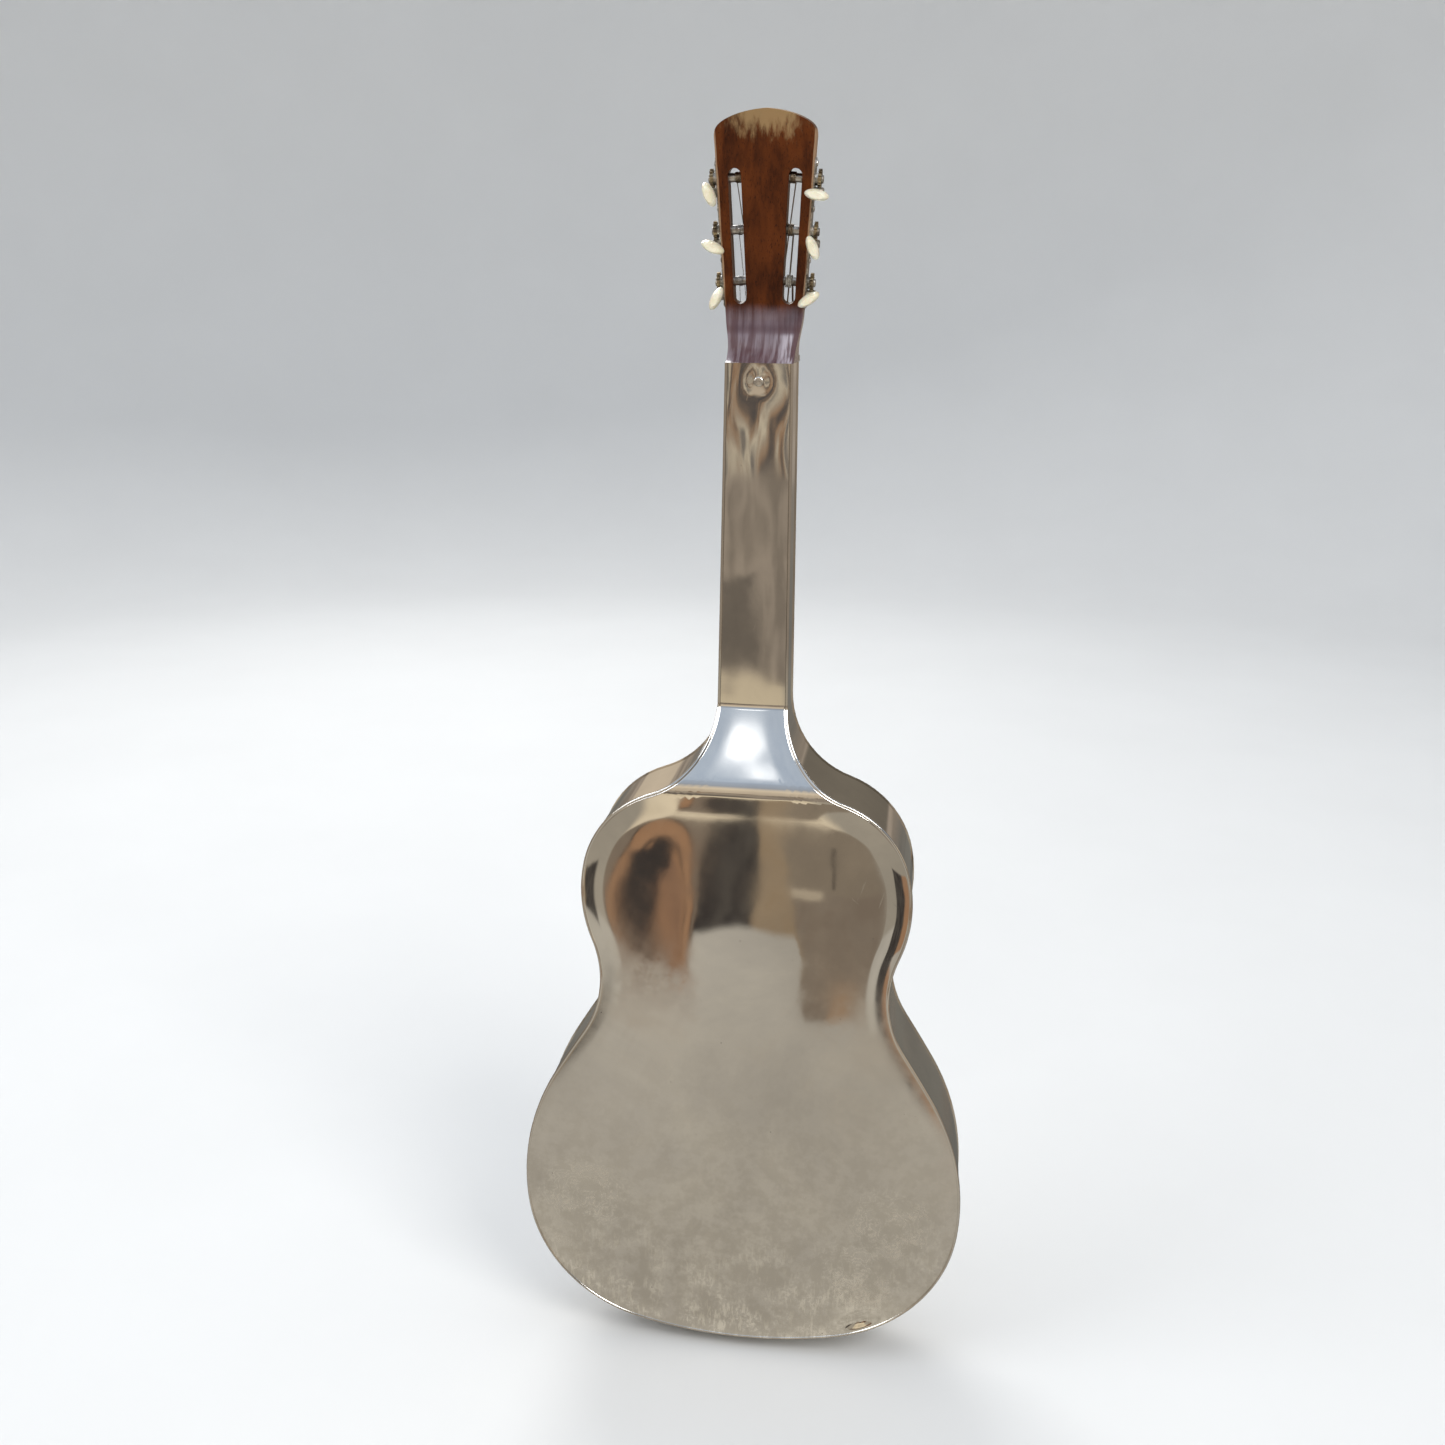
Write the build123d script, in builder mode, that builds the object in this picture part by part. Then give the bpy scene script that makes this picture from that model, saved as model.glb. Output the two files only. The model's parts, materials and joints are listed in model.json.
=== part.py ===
from build123d import *
from math import atan2, cos, degrees, pi, radians, sin, tan
import os

# All-metal resonator guitar with three cones, a hollow square neck and a slotted wooden head.
# Frame: +Z runs from the tail up to the head, the strings face -Y, the back faces +Y and the
# bass side is -X.  The origin is on the strap pin's axis at the tail edge, at mid depth.

# ---------------------------------------------------------------- driving dimensions, mm
body_depth = 75.0
sheet = 1.2
rim_overhang = 0.8

# Half outline of the body from the middle of the tail: radius and turn in degrees of each
# tangent arc, a negative turn being a hollow one.
outline_arcs = (
    (367.0, 13.2),
    (125.0, 70.0),
    (196.0, 37.7),
    (1400.0, 1.8),
    (89.0, -54.4),
    (115.0, 33.6),
    (80.0, 58.9),
    (72.0, -70.3),
)

scale_length = 635.0
nut_edge = 806.5                   # where the metal neck ends and the nut begins
nut_half_width = 24.6
neck_taper = 0.5                   # degrees that each side of the neck leans in
neck_depth = 43.0
ramp_low = 491.0                   # the back sheet slopes between these heights
ramp_high = 549.0

saddle_height = nut_edge - scale_length
cone_pitch = 143.0                 # between the two cones on the bass side
bass_cone_x = -57.0
treble_cone_x = 66.0
cone_radius = 68.0

board_thickness = 4.5
board_end = 376.0
fret_count = 19
fret_height = 1.0

head_tilt = 8.0                    # degrees back from the neck
head_thickness = 15.5
head_start = 811.2                 # height of the head's front face at the nut

string_radii = (0.71, 0.58, 0.46, 0.33, 0.23, 0.20)
nut_spacing = 7.8
saddle_spacing = 10.6
string_nut_y = -49.7
string_saddle_y = -57.0
string_tail_y = -51.2
string_tail_z = 63.6

gear_teeth = 14
gear_pitch_radius = 6.6
worm_pitch_radius = 2.4
worm_lead = 2 * pi * gear_pitch_radius / gear_teeth
worm_offset = gear_pitch_radius + worm_pitch_radius
gear_level = 4.2                   # the gear's mid plane above the head's edge
gear_thickness = 2.4
tuner_plate = 1.0
roller_radius = 3.2
tuner_stations = (53.5, 89.0, 124.5)               # up the head from the nut
button_angles_bass = (55.0, 153.0, 97.0)           # the button's broad side, nut end first
button_angles_treble = (150.0, 62.0, 20.0)

# ---------------------------------------------------------------- derived levels
front = -body_depth / 2
back = body_depth / 2
neck_back = front + neck_depth
board_front = front - board_thickness
side_front = front + sheet
cone_low = saddle_height - cone_pitch / 2
cone_high = saddle_height + cone_pitch / 2
cone_centres = [(bass_cone_x, cone_low), (bass_cone_x, cone_high), (treble_cone_x, saddle_height)]
pan_front = front - 6.5                            # flat front of the raised coverplate
full_reach = 200.0                                 # wider than half of the body
beyond_nut = 300.0                                 # how far the outline runs on past the neck
below_tail = -30.0                                 # a height under everything but the pin
pin_hole_radius = 3.05

os.makedirs("parts", exist_ok=True)


def save(builder, label):
    """Label a finished sub-part and write it under its node name."""
    builder.part.label = label
    export_step(builder.part, f"parts/{label}.step")


def neck_half_width(height):
    """Half width of the neck, which tapers to the nut."""
    return nut_half_width + (nut_edge - height) * tan(radians(neck_taper))


def facing_front(level):
    """Sketch plane square to Y at this Y level, with X to the right and Z up."""
    return Plane.XZ.offset(-level)


# ---------------------------------------------------------------- shared outlines
with BuildSketch() as outline:
    with BuildLine():
        first_radius, first_turn = outline_arcs[0]
        arc = JernArc(start=(0, 0), tangent=(1, 0), radius=first_radius, arc_size=first_turn)
        for radius, turn in outline_arcs[1:]:
            arc = JernArc(start=arc @ 1, tangent=arc % 1, radius=radius, arc_size=turn)
        neck_end = arc @ 1 + (arc % 1) * beyond_nut
        Line(arc @ 1, neck_end)
        Line(neck_end, (0, neck_end.Y))
        mirror(about=Plane.YZ)
    make_face()

with BuildSketch() as side_outer:
    offset(outline.sketch, amount=-rim_overhang, kind=Kind.INTERSECTION)

with BuildSketch() as side_inner:
    offset(outline.sketch, amount=-rim_overhang - sheet, kind=Kind.INTERSECTION)


def lobes(margin):
    """Rounded triangle that surrounds the three cone centres at this distance."""
    with BuildSketch(mode=Mode.PRIVATE) as shape:
        with BuildLine():
            Polyline(*cone_centres, close=True)
        make_face()
        offset(amount=margin, kind=Kind.ARC)
    return shape.sketch


def tee(half_width, reach):
    """T of two round-ended bars: one over the bass cones and one out to the treble cone."""
    with BuildSketch(mode=Mode.PRIVATE) as shape:
        with Locations((bass_cone_x, saddle_height)):
            SlotCenterToCenter(cone_pitch + 2 * reach, 2 * half_width, rotation=90)
        with Locations(((bass_cone_x + treble_cone_x + reach) / 2, saddle_height)):
            SlotCenterToCenter(treble_cone_x + reach - bass_cone_x, 2 * half_width)
    return shape.sketch


def back_line(depth):
    """Side-view points of the back surface, moved inward by this depth."""
    slope = atan2(back - neck_back, ramp_high - ramp_low)
    drop = depth * tan(slope / 2)
    return [
        (back - depth, below_tail),
        (back - depth, ramp_low - drop),
        (neck_back - depth, ramp_high - drop),
        (neck_back - depth, nut_edge),
    ]


# ---------------------------------------------------------------- back sheet, ramp and neck back
screw_height = nut_edge - 13.0
screw_hole_radius = 2.05
with BuildPart() as body_back:
    with BuildSketch(Plane.YZ):
        with BuildLine():
            Polyline(*back_line(0), *reversed(back_line(sheet)), close=True)
        make_face()
    extrude(amount=full_reach, both=True)
    with BuildSketch(Plane.XZ):
        add(outline.sketch)
    extrude(amount=body_depth, both=True, mode=Mode.INTERSECT)
    with BuildSketch(facing_front(neck_back)):
        with Locations((0, screw_height)):
            Circle(screw_hole_radius)
    extrude(amount=2 * sheet, both=True, mode=Mode.SUBTRACT)
save(body_back, "body_back")

# ---------------------------------------------------------------- two side walls, tail to nut
with BuildPart() as side_shell:
    with BuildSketch(facing_front(side_front)):
        add(side_outer.sketch)
        add(side_inner.sketch, mode=Mode.SUBTRACT)
    extrude(amount=-body_depth)
    with BuildSketch(Plane.YZ):
        with BuildLine():
            front_edge = [(side_front, nut_edge), (side_front, below_tail)]
            Polyline(*back_line(sheet), *front_edge, close=True)
        make_face()
    extrude(amount=full_reach, both=True, mode=Mode.INTERSECT)
    Cylinder(pin_hole_radius, 20, mode=Mode.SUBTRACT)

with BuildPart() as body_side_treble:
    add(side_shell.part)
    split(bisect_by=Plane.YZ, keep=Keep.TOP)
save(body_side_treble, "body_side_treble")

with BuildPart() as body_side_bass:
    add(side_shell.part)
    split(bisect_by=Plane.YZ, keep=Keep.BOTTOM)
save(body_side_bass, "body_side_bass")

# ---------------------------------------------------------------- front sheet with its openings
grille_outline = ((38, 398), (106, 398), (110, 428), (84, 457), (38, 457))
grille_corner = 8.0
cone_well = cone_radius + 2.0                      # the soundwell's wall around each cone
cover_screw_count = 12
cover_screw_ring = lobes(cone_well + 3).faces()[0].outer_wire()
cover_screw_spots = [cover_screw_ring @ (step / cover_screw_count) for step in range(cover_screw_count)]
trim_screw = (2.6, 1.5, 1.15)                      # head radius and height, shank radius
trim_screw_hole = 1.2


def grille_area(margin):
    """Treble-side grille shape, grown by this margin."""
    with BuildSketch(mode=Mode.PRIVATE) as shape:
        with BuildLine():
            Polyline(*grille_outline, close=True)
        make_face()
        fillet(shape.vertices(), radius=grille_corner)
        offset(amount=margin, kind=Kind.ARC)
    return shape.sketch


with BuildPart() as body_top:
    with BuildSketch(facing_front(front)):
        add(outline.sketch)
        with Locations((0, nut_edge)):
            above_nut = (Align.CENTER, Align.MIN)
            Rectangle(full_reach, beyond_nut, align=above_nut, mode=Mode.SUBTRACT)
        add(lobes(cone_well), mode=Mode.SUBTRACT)
        add(grille_area(0), mode=Mode.SUBTRACT)
        add(mirror(grille_area(0), about=Plane.YZ), mode=Mode.SUBTRACT)
        with Locations(*cover_screw_spots):
            Circle(trim_screw_hole, mode=Mode.SUBTRACT)
    extrude(amount=-sheet)
save(body_top, "body_top")

# ---------------------------------------------------------------- lattice grilles in the upper bout
lattice_pitch = 9.5
lattice_hole = 5.0
lattice_start = (36, 396)
lattice_columns = 17
lattice_rows = 14
grille_sheet = 0.8
grille_lap = 4.0
lattice_face = grille_area(-grille_lap).faces()[0]
lattice_spots = [
    (lattice_start[0] + column * lattice_pitch / 2, lattice_start[1] + row * lattice_pitch / 2)
    for column in range(lattice_columns)
    for row in range(lattice_rows)
    if (column + row) % 2 == 0
]
lattice_spots = [spot for spot in lattice_spots if lattice_face.is_inside(Vector(*spot))]

with BuildPart() as grille_treble:
    with BuildSketch(facing_front(side_front)):
        add(grille_area(grille_lap))
        with Locations(*lattice_spots):
            Rectangle(lattice_hole, lattice_hole, rotation=45, mode=Mode.SUBTRACT)
    extrude(amount=-grille_sheet)
save(grille_treble, "grille_treble")

with BuildPart() as grille_bass:
    mirror(grille_treble.part, about=Plane.YZ)
save(grille_bass, "grille_bass")

# ---------------------------------------------------------------- soundwell that carries the cones
well_floor = front + 20.5
cone_seat_radius = 61.0
with BuildPart() as soundwell:
    with BuildSketch(facing_front(side_front)):
        add(lobes(cone_well + sheet))
        add(lobes(cone_well), mode=Mode.SUBTRACT)
    extrude(amount=side_front - well_floor)
    with BuildSketch(facing_front(well_floor)):
        add(lobes(cone_well + sheet))
        with Locations(*cone_centres):
            Circle(cone_seat_radius, mode=Mode.SUBTRACT)
    extrude(amount=-sheet)
save(soundwell, "soundwell")

# ---------------------------------------------------------------- three spun cones
cone_wall = 0.8
cone_top = pan_front + 1.8
for name, (cone_x, cone_z) in zip(("cone_bass_lower", "cone_bass_upper", "cone_treble"), cone_centres):
    with BuildPart() as cone:
        with BuildSketch(Plane((cone_x, 0, cone_z))):
            with BuildLine():
                rim_face = well_floor - cone_wall
                Line((0, cone_top), (9, cone_top))
                ThreePointArc((9, cone_top), (34, -32.5), (63, rim_face))
                Line((63, rim_face), (cone_radius, rim_face))
                Line((cone_radius, rim_face), (cone_radius, well_floor))
                Line((cone_radius, well_floor), (62.6, well_floor))
                ThreePointArc((62.6, well_floor), (33.6, -31.7), (8.6, cone_top + cone_wall))
                Line((8.6, cone_top + cone_wall), (0, cone_top + cone_wall))
                Line((0, cone_top + cone_wall), (0, cone_top))
            make_face()
        revolve(axis=Axis((cone_x, 0, cone_z), (0, 1, 0)))
    save(cone, name)

# ---------------------------------------------------------------- T-shaped bridge and its saddle
bridge_back = pan_front - 1.0
bridge_front = bridge_back - 5.0
bridge_arm = (4.0, 2.0)                            # half width, and reach past the cone centres
bridge_chamfer = 0.8
bridge_foot_radius = 4.5
with BuildPart() as bridge:
    with BuildSketch(facing_front(bridge_back)):
        add(tee(*bridge_arm))
    extrude(amount=bridge_back - bridge_front)
    chamfer(bridge.faces().sort_by(Axis.Y)[0].edges(), length=bridge_chamfer)
    with BuildSketch(facing_front(cone_top)):
        with Locations(*cone_centres):
            Circle(bridge_foot_radius)
    extrude(amount=cone_top - bridge_back)
save(bridge, "bridge")

string_spots = [2.5 - index for index in range(6)]       # strings 6 to 1, bass to treble
saddle_length = 61.0
saddle_thickness = 3.4
saddle_lip = 0.2                                   # of the saddle in front of the strings' axes
string_play = 0.14                                 # clearance round a string in its notch
with BuildPart() as saddle:
    with BuildSketch(facing_front(bridge_front)):
        with Locations((0, saddle_height)):
            Rectangle(saddle_length, saddle_thickness)
    extrude(amount=bridge_front - string_saddle_y + saddle_lip)
    for spot, radius in zip(string_spots, string_radii):
        with BuildSketch(Plane.XY.offset(saddle_height)):
            with Locations((-spot * saddle_spacing, string_saddle_y)):
                Circle(radius + string_play)
                with Locations((0, -1)):
                    Rectangle(2 * (radius + string_play), 2)
        extrude(amount=saddle_thickness, both=True, mode=Mode.SUBTRACT)
save(saddle, "saddle")

# ---------------------------------------------------------------- raised coverplate
flange_front = front - 1.0
flange_radius = 76.0
pan_radius = 65.0                                  # of the raised part's flat front
cover_sheet = 0.8
cover_opening = (6.5, 3.5)                         # round the bridge: half width and reach
punch_depth = 3.0
sound_slot = (11.0, 2.8)
slot_area = lobes(50).faces()[0]
rest_area = tee(19.5, 15).faces()[0]
sound_slots = [
    (column * 4.5, saddle_height + row * 8.5)
    for column in range(-26, 28)
    for row in range(-15, 16)
    if (column + row) % 2 == 0
]
sound_slots = [
    spot
    for spot in sound_slots
    if slot_area.is_inside(Vector(*spot)) and not rest_area.is_inside(Vector(*spot))
]
with BuildPart() as coverplate:
    with BuildSketch(facing_front(front)):
        add(lobes(flange_radius))
    extrude(amount=front - flange_front)
    with BuildSketch(facing_front(flange_front)):
        add(lobes(cone_well))
    with BuildSketch(facing_front(pan_front)):
        add(lobes(pan_radius))
    loft(ruled=True)
    with BuildSketch(facing_front(front)):
        add(lobes(cone_well - cover_sheet))
    with BuildSketch(facing_front(pan_front + 1)):
        add(lobes(pan_radius - cover_sheet))
    loft(ruled=True, mode=Mode.SUBTRACT)
    with BuildSketch(facing_front(pan_front)):
        add(tee(*cover_opening))
    extrude(amount=punch_depth, both=True, mode=Mode.SUBTRACT)
    with BuildSketch(facing_front(flange_front)):
        with Locations(*cover_screw_spots):
            Circle(trim_screw_hole)
    extrude(amount=punch_depth, both=True, mode=Mode.SUBTRACT)
    with BuildSketch(facing_front(pan_front)):
        with Locations(*sound_slots):
            SlotOverall(*sound_slot, rotation=90)
    extrude(amount=punch_depth, both=True, mode=Mode.SUBTRACT)
save(coverplate, "coverplate")

# ---------------------------------------------------------------- hand rest over the bridge
rest_front = -63.0
rest_wall = 1.4
rest_half_width = 14.5
rest_reach = 8.0
rest_round = 3.0
ear_radius = 5.5
ear_thickness = 1.2
rest_arch = (64, 16.2, 60)                         # opening for the strings, through the side walls
rest_ears = [(bass_cone_x, cone_low - 26), (bass_cone_x, cone_high + 26), (treble_cone_x + 26, saddle_height)]
with BuildPart() as hand_rest:
    with BuildSketch(facing_front(pan_front)):
        add(tee(rest_half_width, rest_reach))
    extrude(amount=pan_front - rest_front)
    fillet(hand_rest.faces().sort_by(Axis.Y)[0].edges(), radius=rest_round)
    with BuildSketch(facing_front(pan_front)):
        with Locations(*rest_ears):
            Circle(ear_radius)
    extrude(amount=ear_thickness)
    with BuildSketch(facing_front(pan_front)):
        add(tee(rest_half_width - rest_wall, rest_reach))
    extrude(amount=pan_front - rest_front - rest_wall, mode=Mode.SUBTRACT)
    with Locations((0, (pan_front + rest_front) / 2 + rest_wall, saddle_height)):
        Box(*rest_arch, mode=Mode.SUBTRACT)
    with BuildSketch(facing_front(pan_front)):
        with Locations(*rest_ears):
            Circle(trim_screw_hole)
    extrude(amount=punch_depth, both=True, mode=Mode.SUBTRACT)
save(hand_rest, "hand_rest")


def dome_screw(head_radius, head_height, shank_radius, shank_length):
    """Slotted round-head screw standing on Z = 0 with its head upward."""
    with BuildPart(mode=Mode.PRIVATE) as screw:
        Cylinder(head_radius, head_height, align=(Align.CENTER, Align.CENTER, Align.MIN))
        fillet(screw.edges().sort_by(Axis.Z)[-1], radius=0.7 * head_height)
        with Locations((0, 0, head_height)):
            Box(3 * head_radius, 0.5, head_height, mode=Mode.SUBTRACT)
        with Locations((0, 0, -shank_length)):
            Cylinder(shank_radius, shank_length, align=(Align.CENTER, Align.CENTER, Align.MIN))
    return screw.part


with BuildPart() as cover_screws:
    for spot in cover_screw_spots:
        add(facing_front(flange_front) * Pos(spot.X, spot.Y, 0) * dome_screw(*trim_screw, 4.0))
    for spot_x, spot_z in rest_ears:
        add(facing_front(pan_front - ear_thickness) * Pos(spot_x, spot_z, 0) * dome_screw(*trim_screw, 1.0))
save(cover_screws, "cover_screws")

# ---------------------------------------------------------------- tailpiece, strap pin and tail block
tail_reach = 72.0
tail_spacing = 9.0
tail_bar = 5.0                                     # height of the bar that holds the ball ends
tail_half_widths = (12.0, 29.0)                    # at the pin and at the bar
with BuildPart() as tailpiece:
    with BuildSketch(Plane.YZ):
        with BuildLine():
            Polyline(
                (11, -0.1),
                (11, -1.7),
                (-42.7, -1.7),
                (-49.2, tail_reach),
                (-47.6, tail_reach),
                (-41.1, -0.1),
                close=True,
            )
        make_face()
    extrude(amount=40, both=True)
    with BuildSketch(facing_front(20)):
        with BuildLine():
            narrow, wide = tail_half_widths
            Polyline((0, -5), (narrow, -5), (narrow, 8), (wide, 66), (wide, tail_reach), (0, tail_reach))
            mirror(about=Plane.YZ)
        make_face()
    extrude(amount=80, mode=Mode.INTERSECT)
    with Locations((0, -50.4, tail_reach - tail_bar / 2)):
        Box(2 * wide, 5.6, tail_bar)
    for spot, radius in zip(string_spots, string_radii):
        with Locations((-spot * tail_spacing, -52.4, tail_reach - tail_bar / 2)):
            Box(2 * radius + 1.0, 4.2, 8, mode=Mode.SUBTRACT)
    Cylinder(pin_hole_radius, 20, mode=Mode.SUBTRACT)
save(tailpiece, "tailpiece")

pin_round = 2.4
pin_levels = ((18.0, -1.7, 3.0), (-1.7, -2.9, 8.0), (-2.9, -9.6, 4.2), (-9.6, -13.5, 7.2))
with BuildPart() as strap_pin:
    for high, low, radius in pin_levels:
        with BuildSketch(Plane.XY.offset(low)):
            Circle(radius)
        extrude(amount=high - low)
    fillet(strap_pin.edges().sort_by(Axis.Z)[0], radius=pin_round)
save(strap_pin, "strap_pin")

tail_block_size = (56.0, 66.0, 18.0)
tail_block_height = 12.8
with BuildPart() as tail_block:
    with Locations((0, 0, tail_block_height)):
        Box(*tail_block_size)
    Cylinder(pin_hole_radius, 60, mode=Mode.SUBTRACT)
save(tail_block, "tail_block")

# ---------------------------------------------------------------- fingerboard, frets, dots and nut
marker_radius = 3.0
marker_play = 0.05
marker_depth = 0.8
fret_half_width = 1.1
fret_inset = 0.4                                   # of a fret's ends from the board's sides


def fret_position(number):
    """Height of a fret's centre line."""
    return nut_edge - scale_length * (1 - 2 ** (-number / 12))


marker_spots = [(0, (fret_position(number - 1) + fret_position(number)) / 2) for number in (5, 7, 9, 15, 17)]
marker_spots += [(side * 11.7, (fret_position(11) + fret_position(12)) / 2) for side in (-1, 1)]

with BuildPart() as fingerboard:
    with BuildSketch(facing_front(front)):
        with BuildLine():
            low_width = neck_half_width(board_end)
            Polyline(
                (-low_width, board_end),
                (low_width, board_end),
                (nut_half_width, nut_edge),
                (-nut_half_width, nut_edge),
                close=True,
            )
        make_face()
    extrude(amount=board_thickness)
    with BuildSketch(facing_front(board_front)):
        with Locations(*marker_spots):
            Circle(marker_radius + marker_play)
    extrude(amount=-marker_depth, mode=Mode.SUBTRACT)
save(fingerboard, "fingerboard")

with BuildPart() as position_markers:
    with BuildSketch(facing_front(board_front)):
        with Locations(*marker_spots):
            Circle(marker_radius)
    extrude(amount=-marker_depth)
save(position_markers, "position_markers")

with BuildPart() as frets:
    for number in range(1, fret_count + 1):
        height = fret_position(number)
        half_length = neck_half_width(height) - fret_inset
        with BuildSketch(Plane.YZ.offset(-half_length)):
            with BuildLine():
                low_edge = (board_front, height - fret_half_width)
                high_edge = (board_front, height + fret_half_width)
                Line(low_edge, high_edge)
                ThreePointArc(low_edge, (board_front - fret_height, height), high_edge)
            make_face()
        extrude(amount=2 * half_length)
save(frets, "frets")

with BuildPart() as nut:
    with Locations((0, (front + string_nut_y - 0.5) / 2, (nut_edge + head_start) / 2)):
        Box(2 * nut_half_width, front - string_nut_y + 0.5, head_start - nut_edge)
    for spot, radius in zip(string_spots, string_radii):
        with BuildSketch(Plane.XY.offset(nut_edge)):
            with Locations((-spot * nut_spacing, string_nut_y)):
                Circle(radius + string_play)
                with Locations((0, -1)):
                    Rectangle(2 * (radius + string_play), 2)
        extrude(amount=8, both=True, mode=Mode.SUBTRACT)
save(nut, "nut")

# ---------------------------------------------------------------- slotted wooden head
tilt = radians(head_tilt)
head_origin = Vector(0, front - 4.0, head_start)
head_up = Vector(0, sin(tilt), cos(tilt))
head_back = Vector(0, cos(tilt), -sin(tilt))
head_face = Plane(origin=head_origin, x_dir=(1, 0, 0), z_dir=-head_back)

edge_low = (28.4, 30.0)                 # straight edges of the head, half width and height
edge_high = (36.0, 150.0)
edge_lean = atan2(edge_high[0] - edge_low[0], edge_high[1] - edge_low[1])
head_corner = (33.5, 160.5)
head_crown = 171.2
slot_width = 9.5
slot_low = (17.8, 43.7)                 # centres of the slot's round ends
slot_high = (21.8, 127.3)
slot_lean = atan2(slot_high[0] - slot_low[0], slot_high[1] - slot_low[1])
bore_depth = 21.5
plate_centre = 87.0
plate_length = 104.0
plate_width = 13.0
plate_screw_spots = (-49.0, -18.0, 17.5, 48.0)
plate_screw = (2.1, 1.1, 1.0)                      # head radius and height, shank radius
plate_screw_hole = 1.05
plate_screw_depth = 6.0
bore_play = 0.15


def head_point(across, along, deep):
    """Point of the head at this distance from the centre line, up the face and behind it."""
    return head_origin + Vector(across, 0, 0) + head_up * along + head_back * deep


def edge_plane(along):
    """Treble edge of the head at mid thickness, with Z outward and X up the edge."""
    across = edge_low[0] + (along - edge_low[1]) * tan(edge_lean)
    return Plane(
        origin=head_point(across, along, head_thickness / 2),
        x_dir=Vector(sin(edge_lean), 0, 0) + head_up * cos(edge_lean),
        z_dir=Vector(cos(edge_lean), 0, 0) - head_up * sin(edge_lean),
    )


def worm_plane(station):
    """Worm axis of a tuner station: Z toward the back, X toward the gear."""
    return Plane(
        origin=station.from_local_coords((-worm_offset, 0, gear_level)),
        x_dir=station.x_dir,
        z_dir=-station.y_dir,
    )


station_planes = [edge_plane(along) for along in tuner_stations]
plate_plane = edge_plane(plate_centre)
station_spots = [(along - plate_centre) / cos(edge_lean) for along in tuner_stations]

with BuildPart() as tuner_bores:
    for station in station_planes:
        with BuildSketch(station):
            Circle(roller_radius + bore_play)
        extrude(amount=-bore_depth)
    with BuildSketch(plate_plane):
        with Locations(*[(spot, 0) for spot in plate_screw_spots]):
            Circle(plate_screw_hole)
    extrude(amount=-plate_screw_depth)

with BuildPart() as headstock:
    back_low = head_point(0, 30, head_thickness)
    back_high = head_point(0, 180, head_thickness)
    face_high = head_point(0, 180, 0)
    with BuildSketch(Plane.YZ):
        with BuildLine():
            Polyline(
                (back_low.Y, back_low.Z),
                (back_high.Y, back_high.Z),
                (face_high.Y, face_high.Z),
                (head_origin.Y, head_start),
                (front, head_start),
                (front, nut_edge),
                (neck_back, nut_edge),
            )
            ThreePointArc((neck_back, nut_edge), (-12.8, 818.7), (back_low.Y, back_low.Z))
        make_face()
    extrude(amount=60, both=True)
    with BuildSketch(head_face):
        with BuildLine():
            Polyline((0, -16), (nut_half_width, -16), (nut_half_width, 2))
            Bezier((nut_half_width, 2), (nut_half_width, 14), (27.6, 19), edge_low)
            Line(edge_low, edge_high)
            Bezier(edge_high, (36.6, 155), (35.9, 158), head_corner)
            Bezier(head_corner, (29.5, 164.7), (17, 170.2), (0, head_crown))
            mirror(about=Plane.YZ)
        make_face()
    extrude(amount=80, both=True, mode=Mode.INTERSECT)
    with Locations((0, (side_front + neck_back - sheet) / 2, nut_edge - 20)):
        Box(2 * nut_half_width - 4.6, neck_back - sheet - side_front - 0.4, 40)
    for side in (-1, 1):
        slot_middle = (side * (slot_low[0] + slot_high[0]) / 2, (slot_low[1] + slot_high[1]) / 2)
        slot_run = (slot_high[1] - slot_low[1]) / cos(slot_lean)
        with BuildSketch(head_face):
            with Locations(slot_middle):
                SlotCenterToCenter(slot_run, slot_width, rotation=90 - side * degrees(slot_lean))
        extrude(amount=40, both=True, mode=Mode.SUBTRACT)
        ramp_start = side * slot_low[0] - slot_width / 2 + 0.1
        with BuildSketch(Plane(origin=head_point(ramp_start, 0, 0), x_dir=head_up, z_dir=(1, 0, 0))):
            with BuildLine():
                Polyline((24, 1), (44, 1), (44, -5), (24, 0.2), close=True)
            make_face()
        extrude(amount=slot_width - 0.2, mode=Mode.SUBTRACT)
    add(tuner_bores.part, mode=Mode.SUBTRACT)
    mirror(tuner_bores.part, about=Plane.YZ, mode=Mode.SUBTRACT)
    with BuildSketch(facing_front(neck_back)):
        with Locations((0, screw_height)):
            Circle(screw_hole_radius)
    extrude(amount=18, mode=Mode.SUBTRACT)
save(headstock, "headstock")

# ---------------------------------------------------------------- screw through the neck's back
neck_screw_size = (3.6, 1.7, 2.0, 15.0)            # head radius and height, shank radius and length
with BuildPart(Plane(origin=(0, neck_back, screw_height), x_dir=(1, 0, 0), z_dir=(0, 1, 0))) as neck_screw:
    add(dome_screw(*neck_screw_size))
save(neck_screw, "neck_screw")

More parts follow.
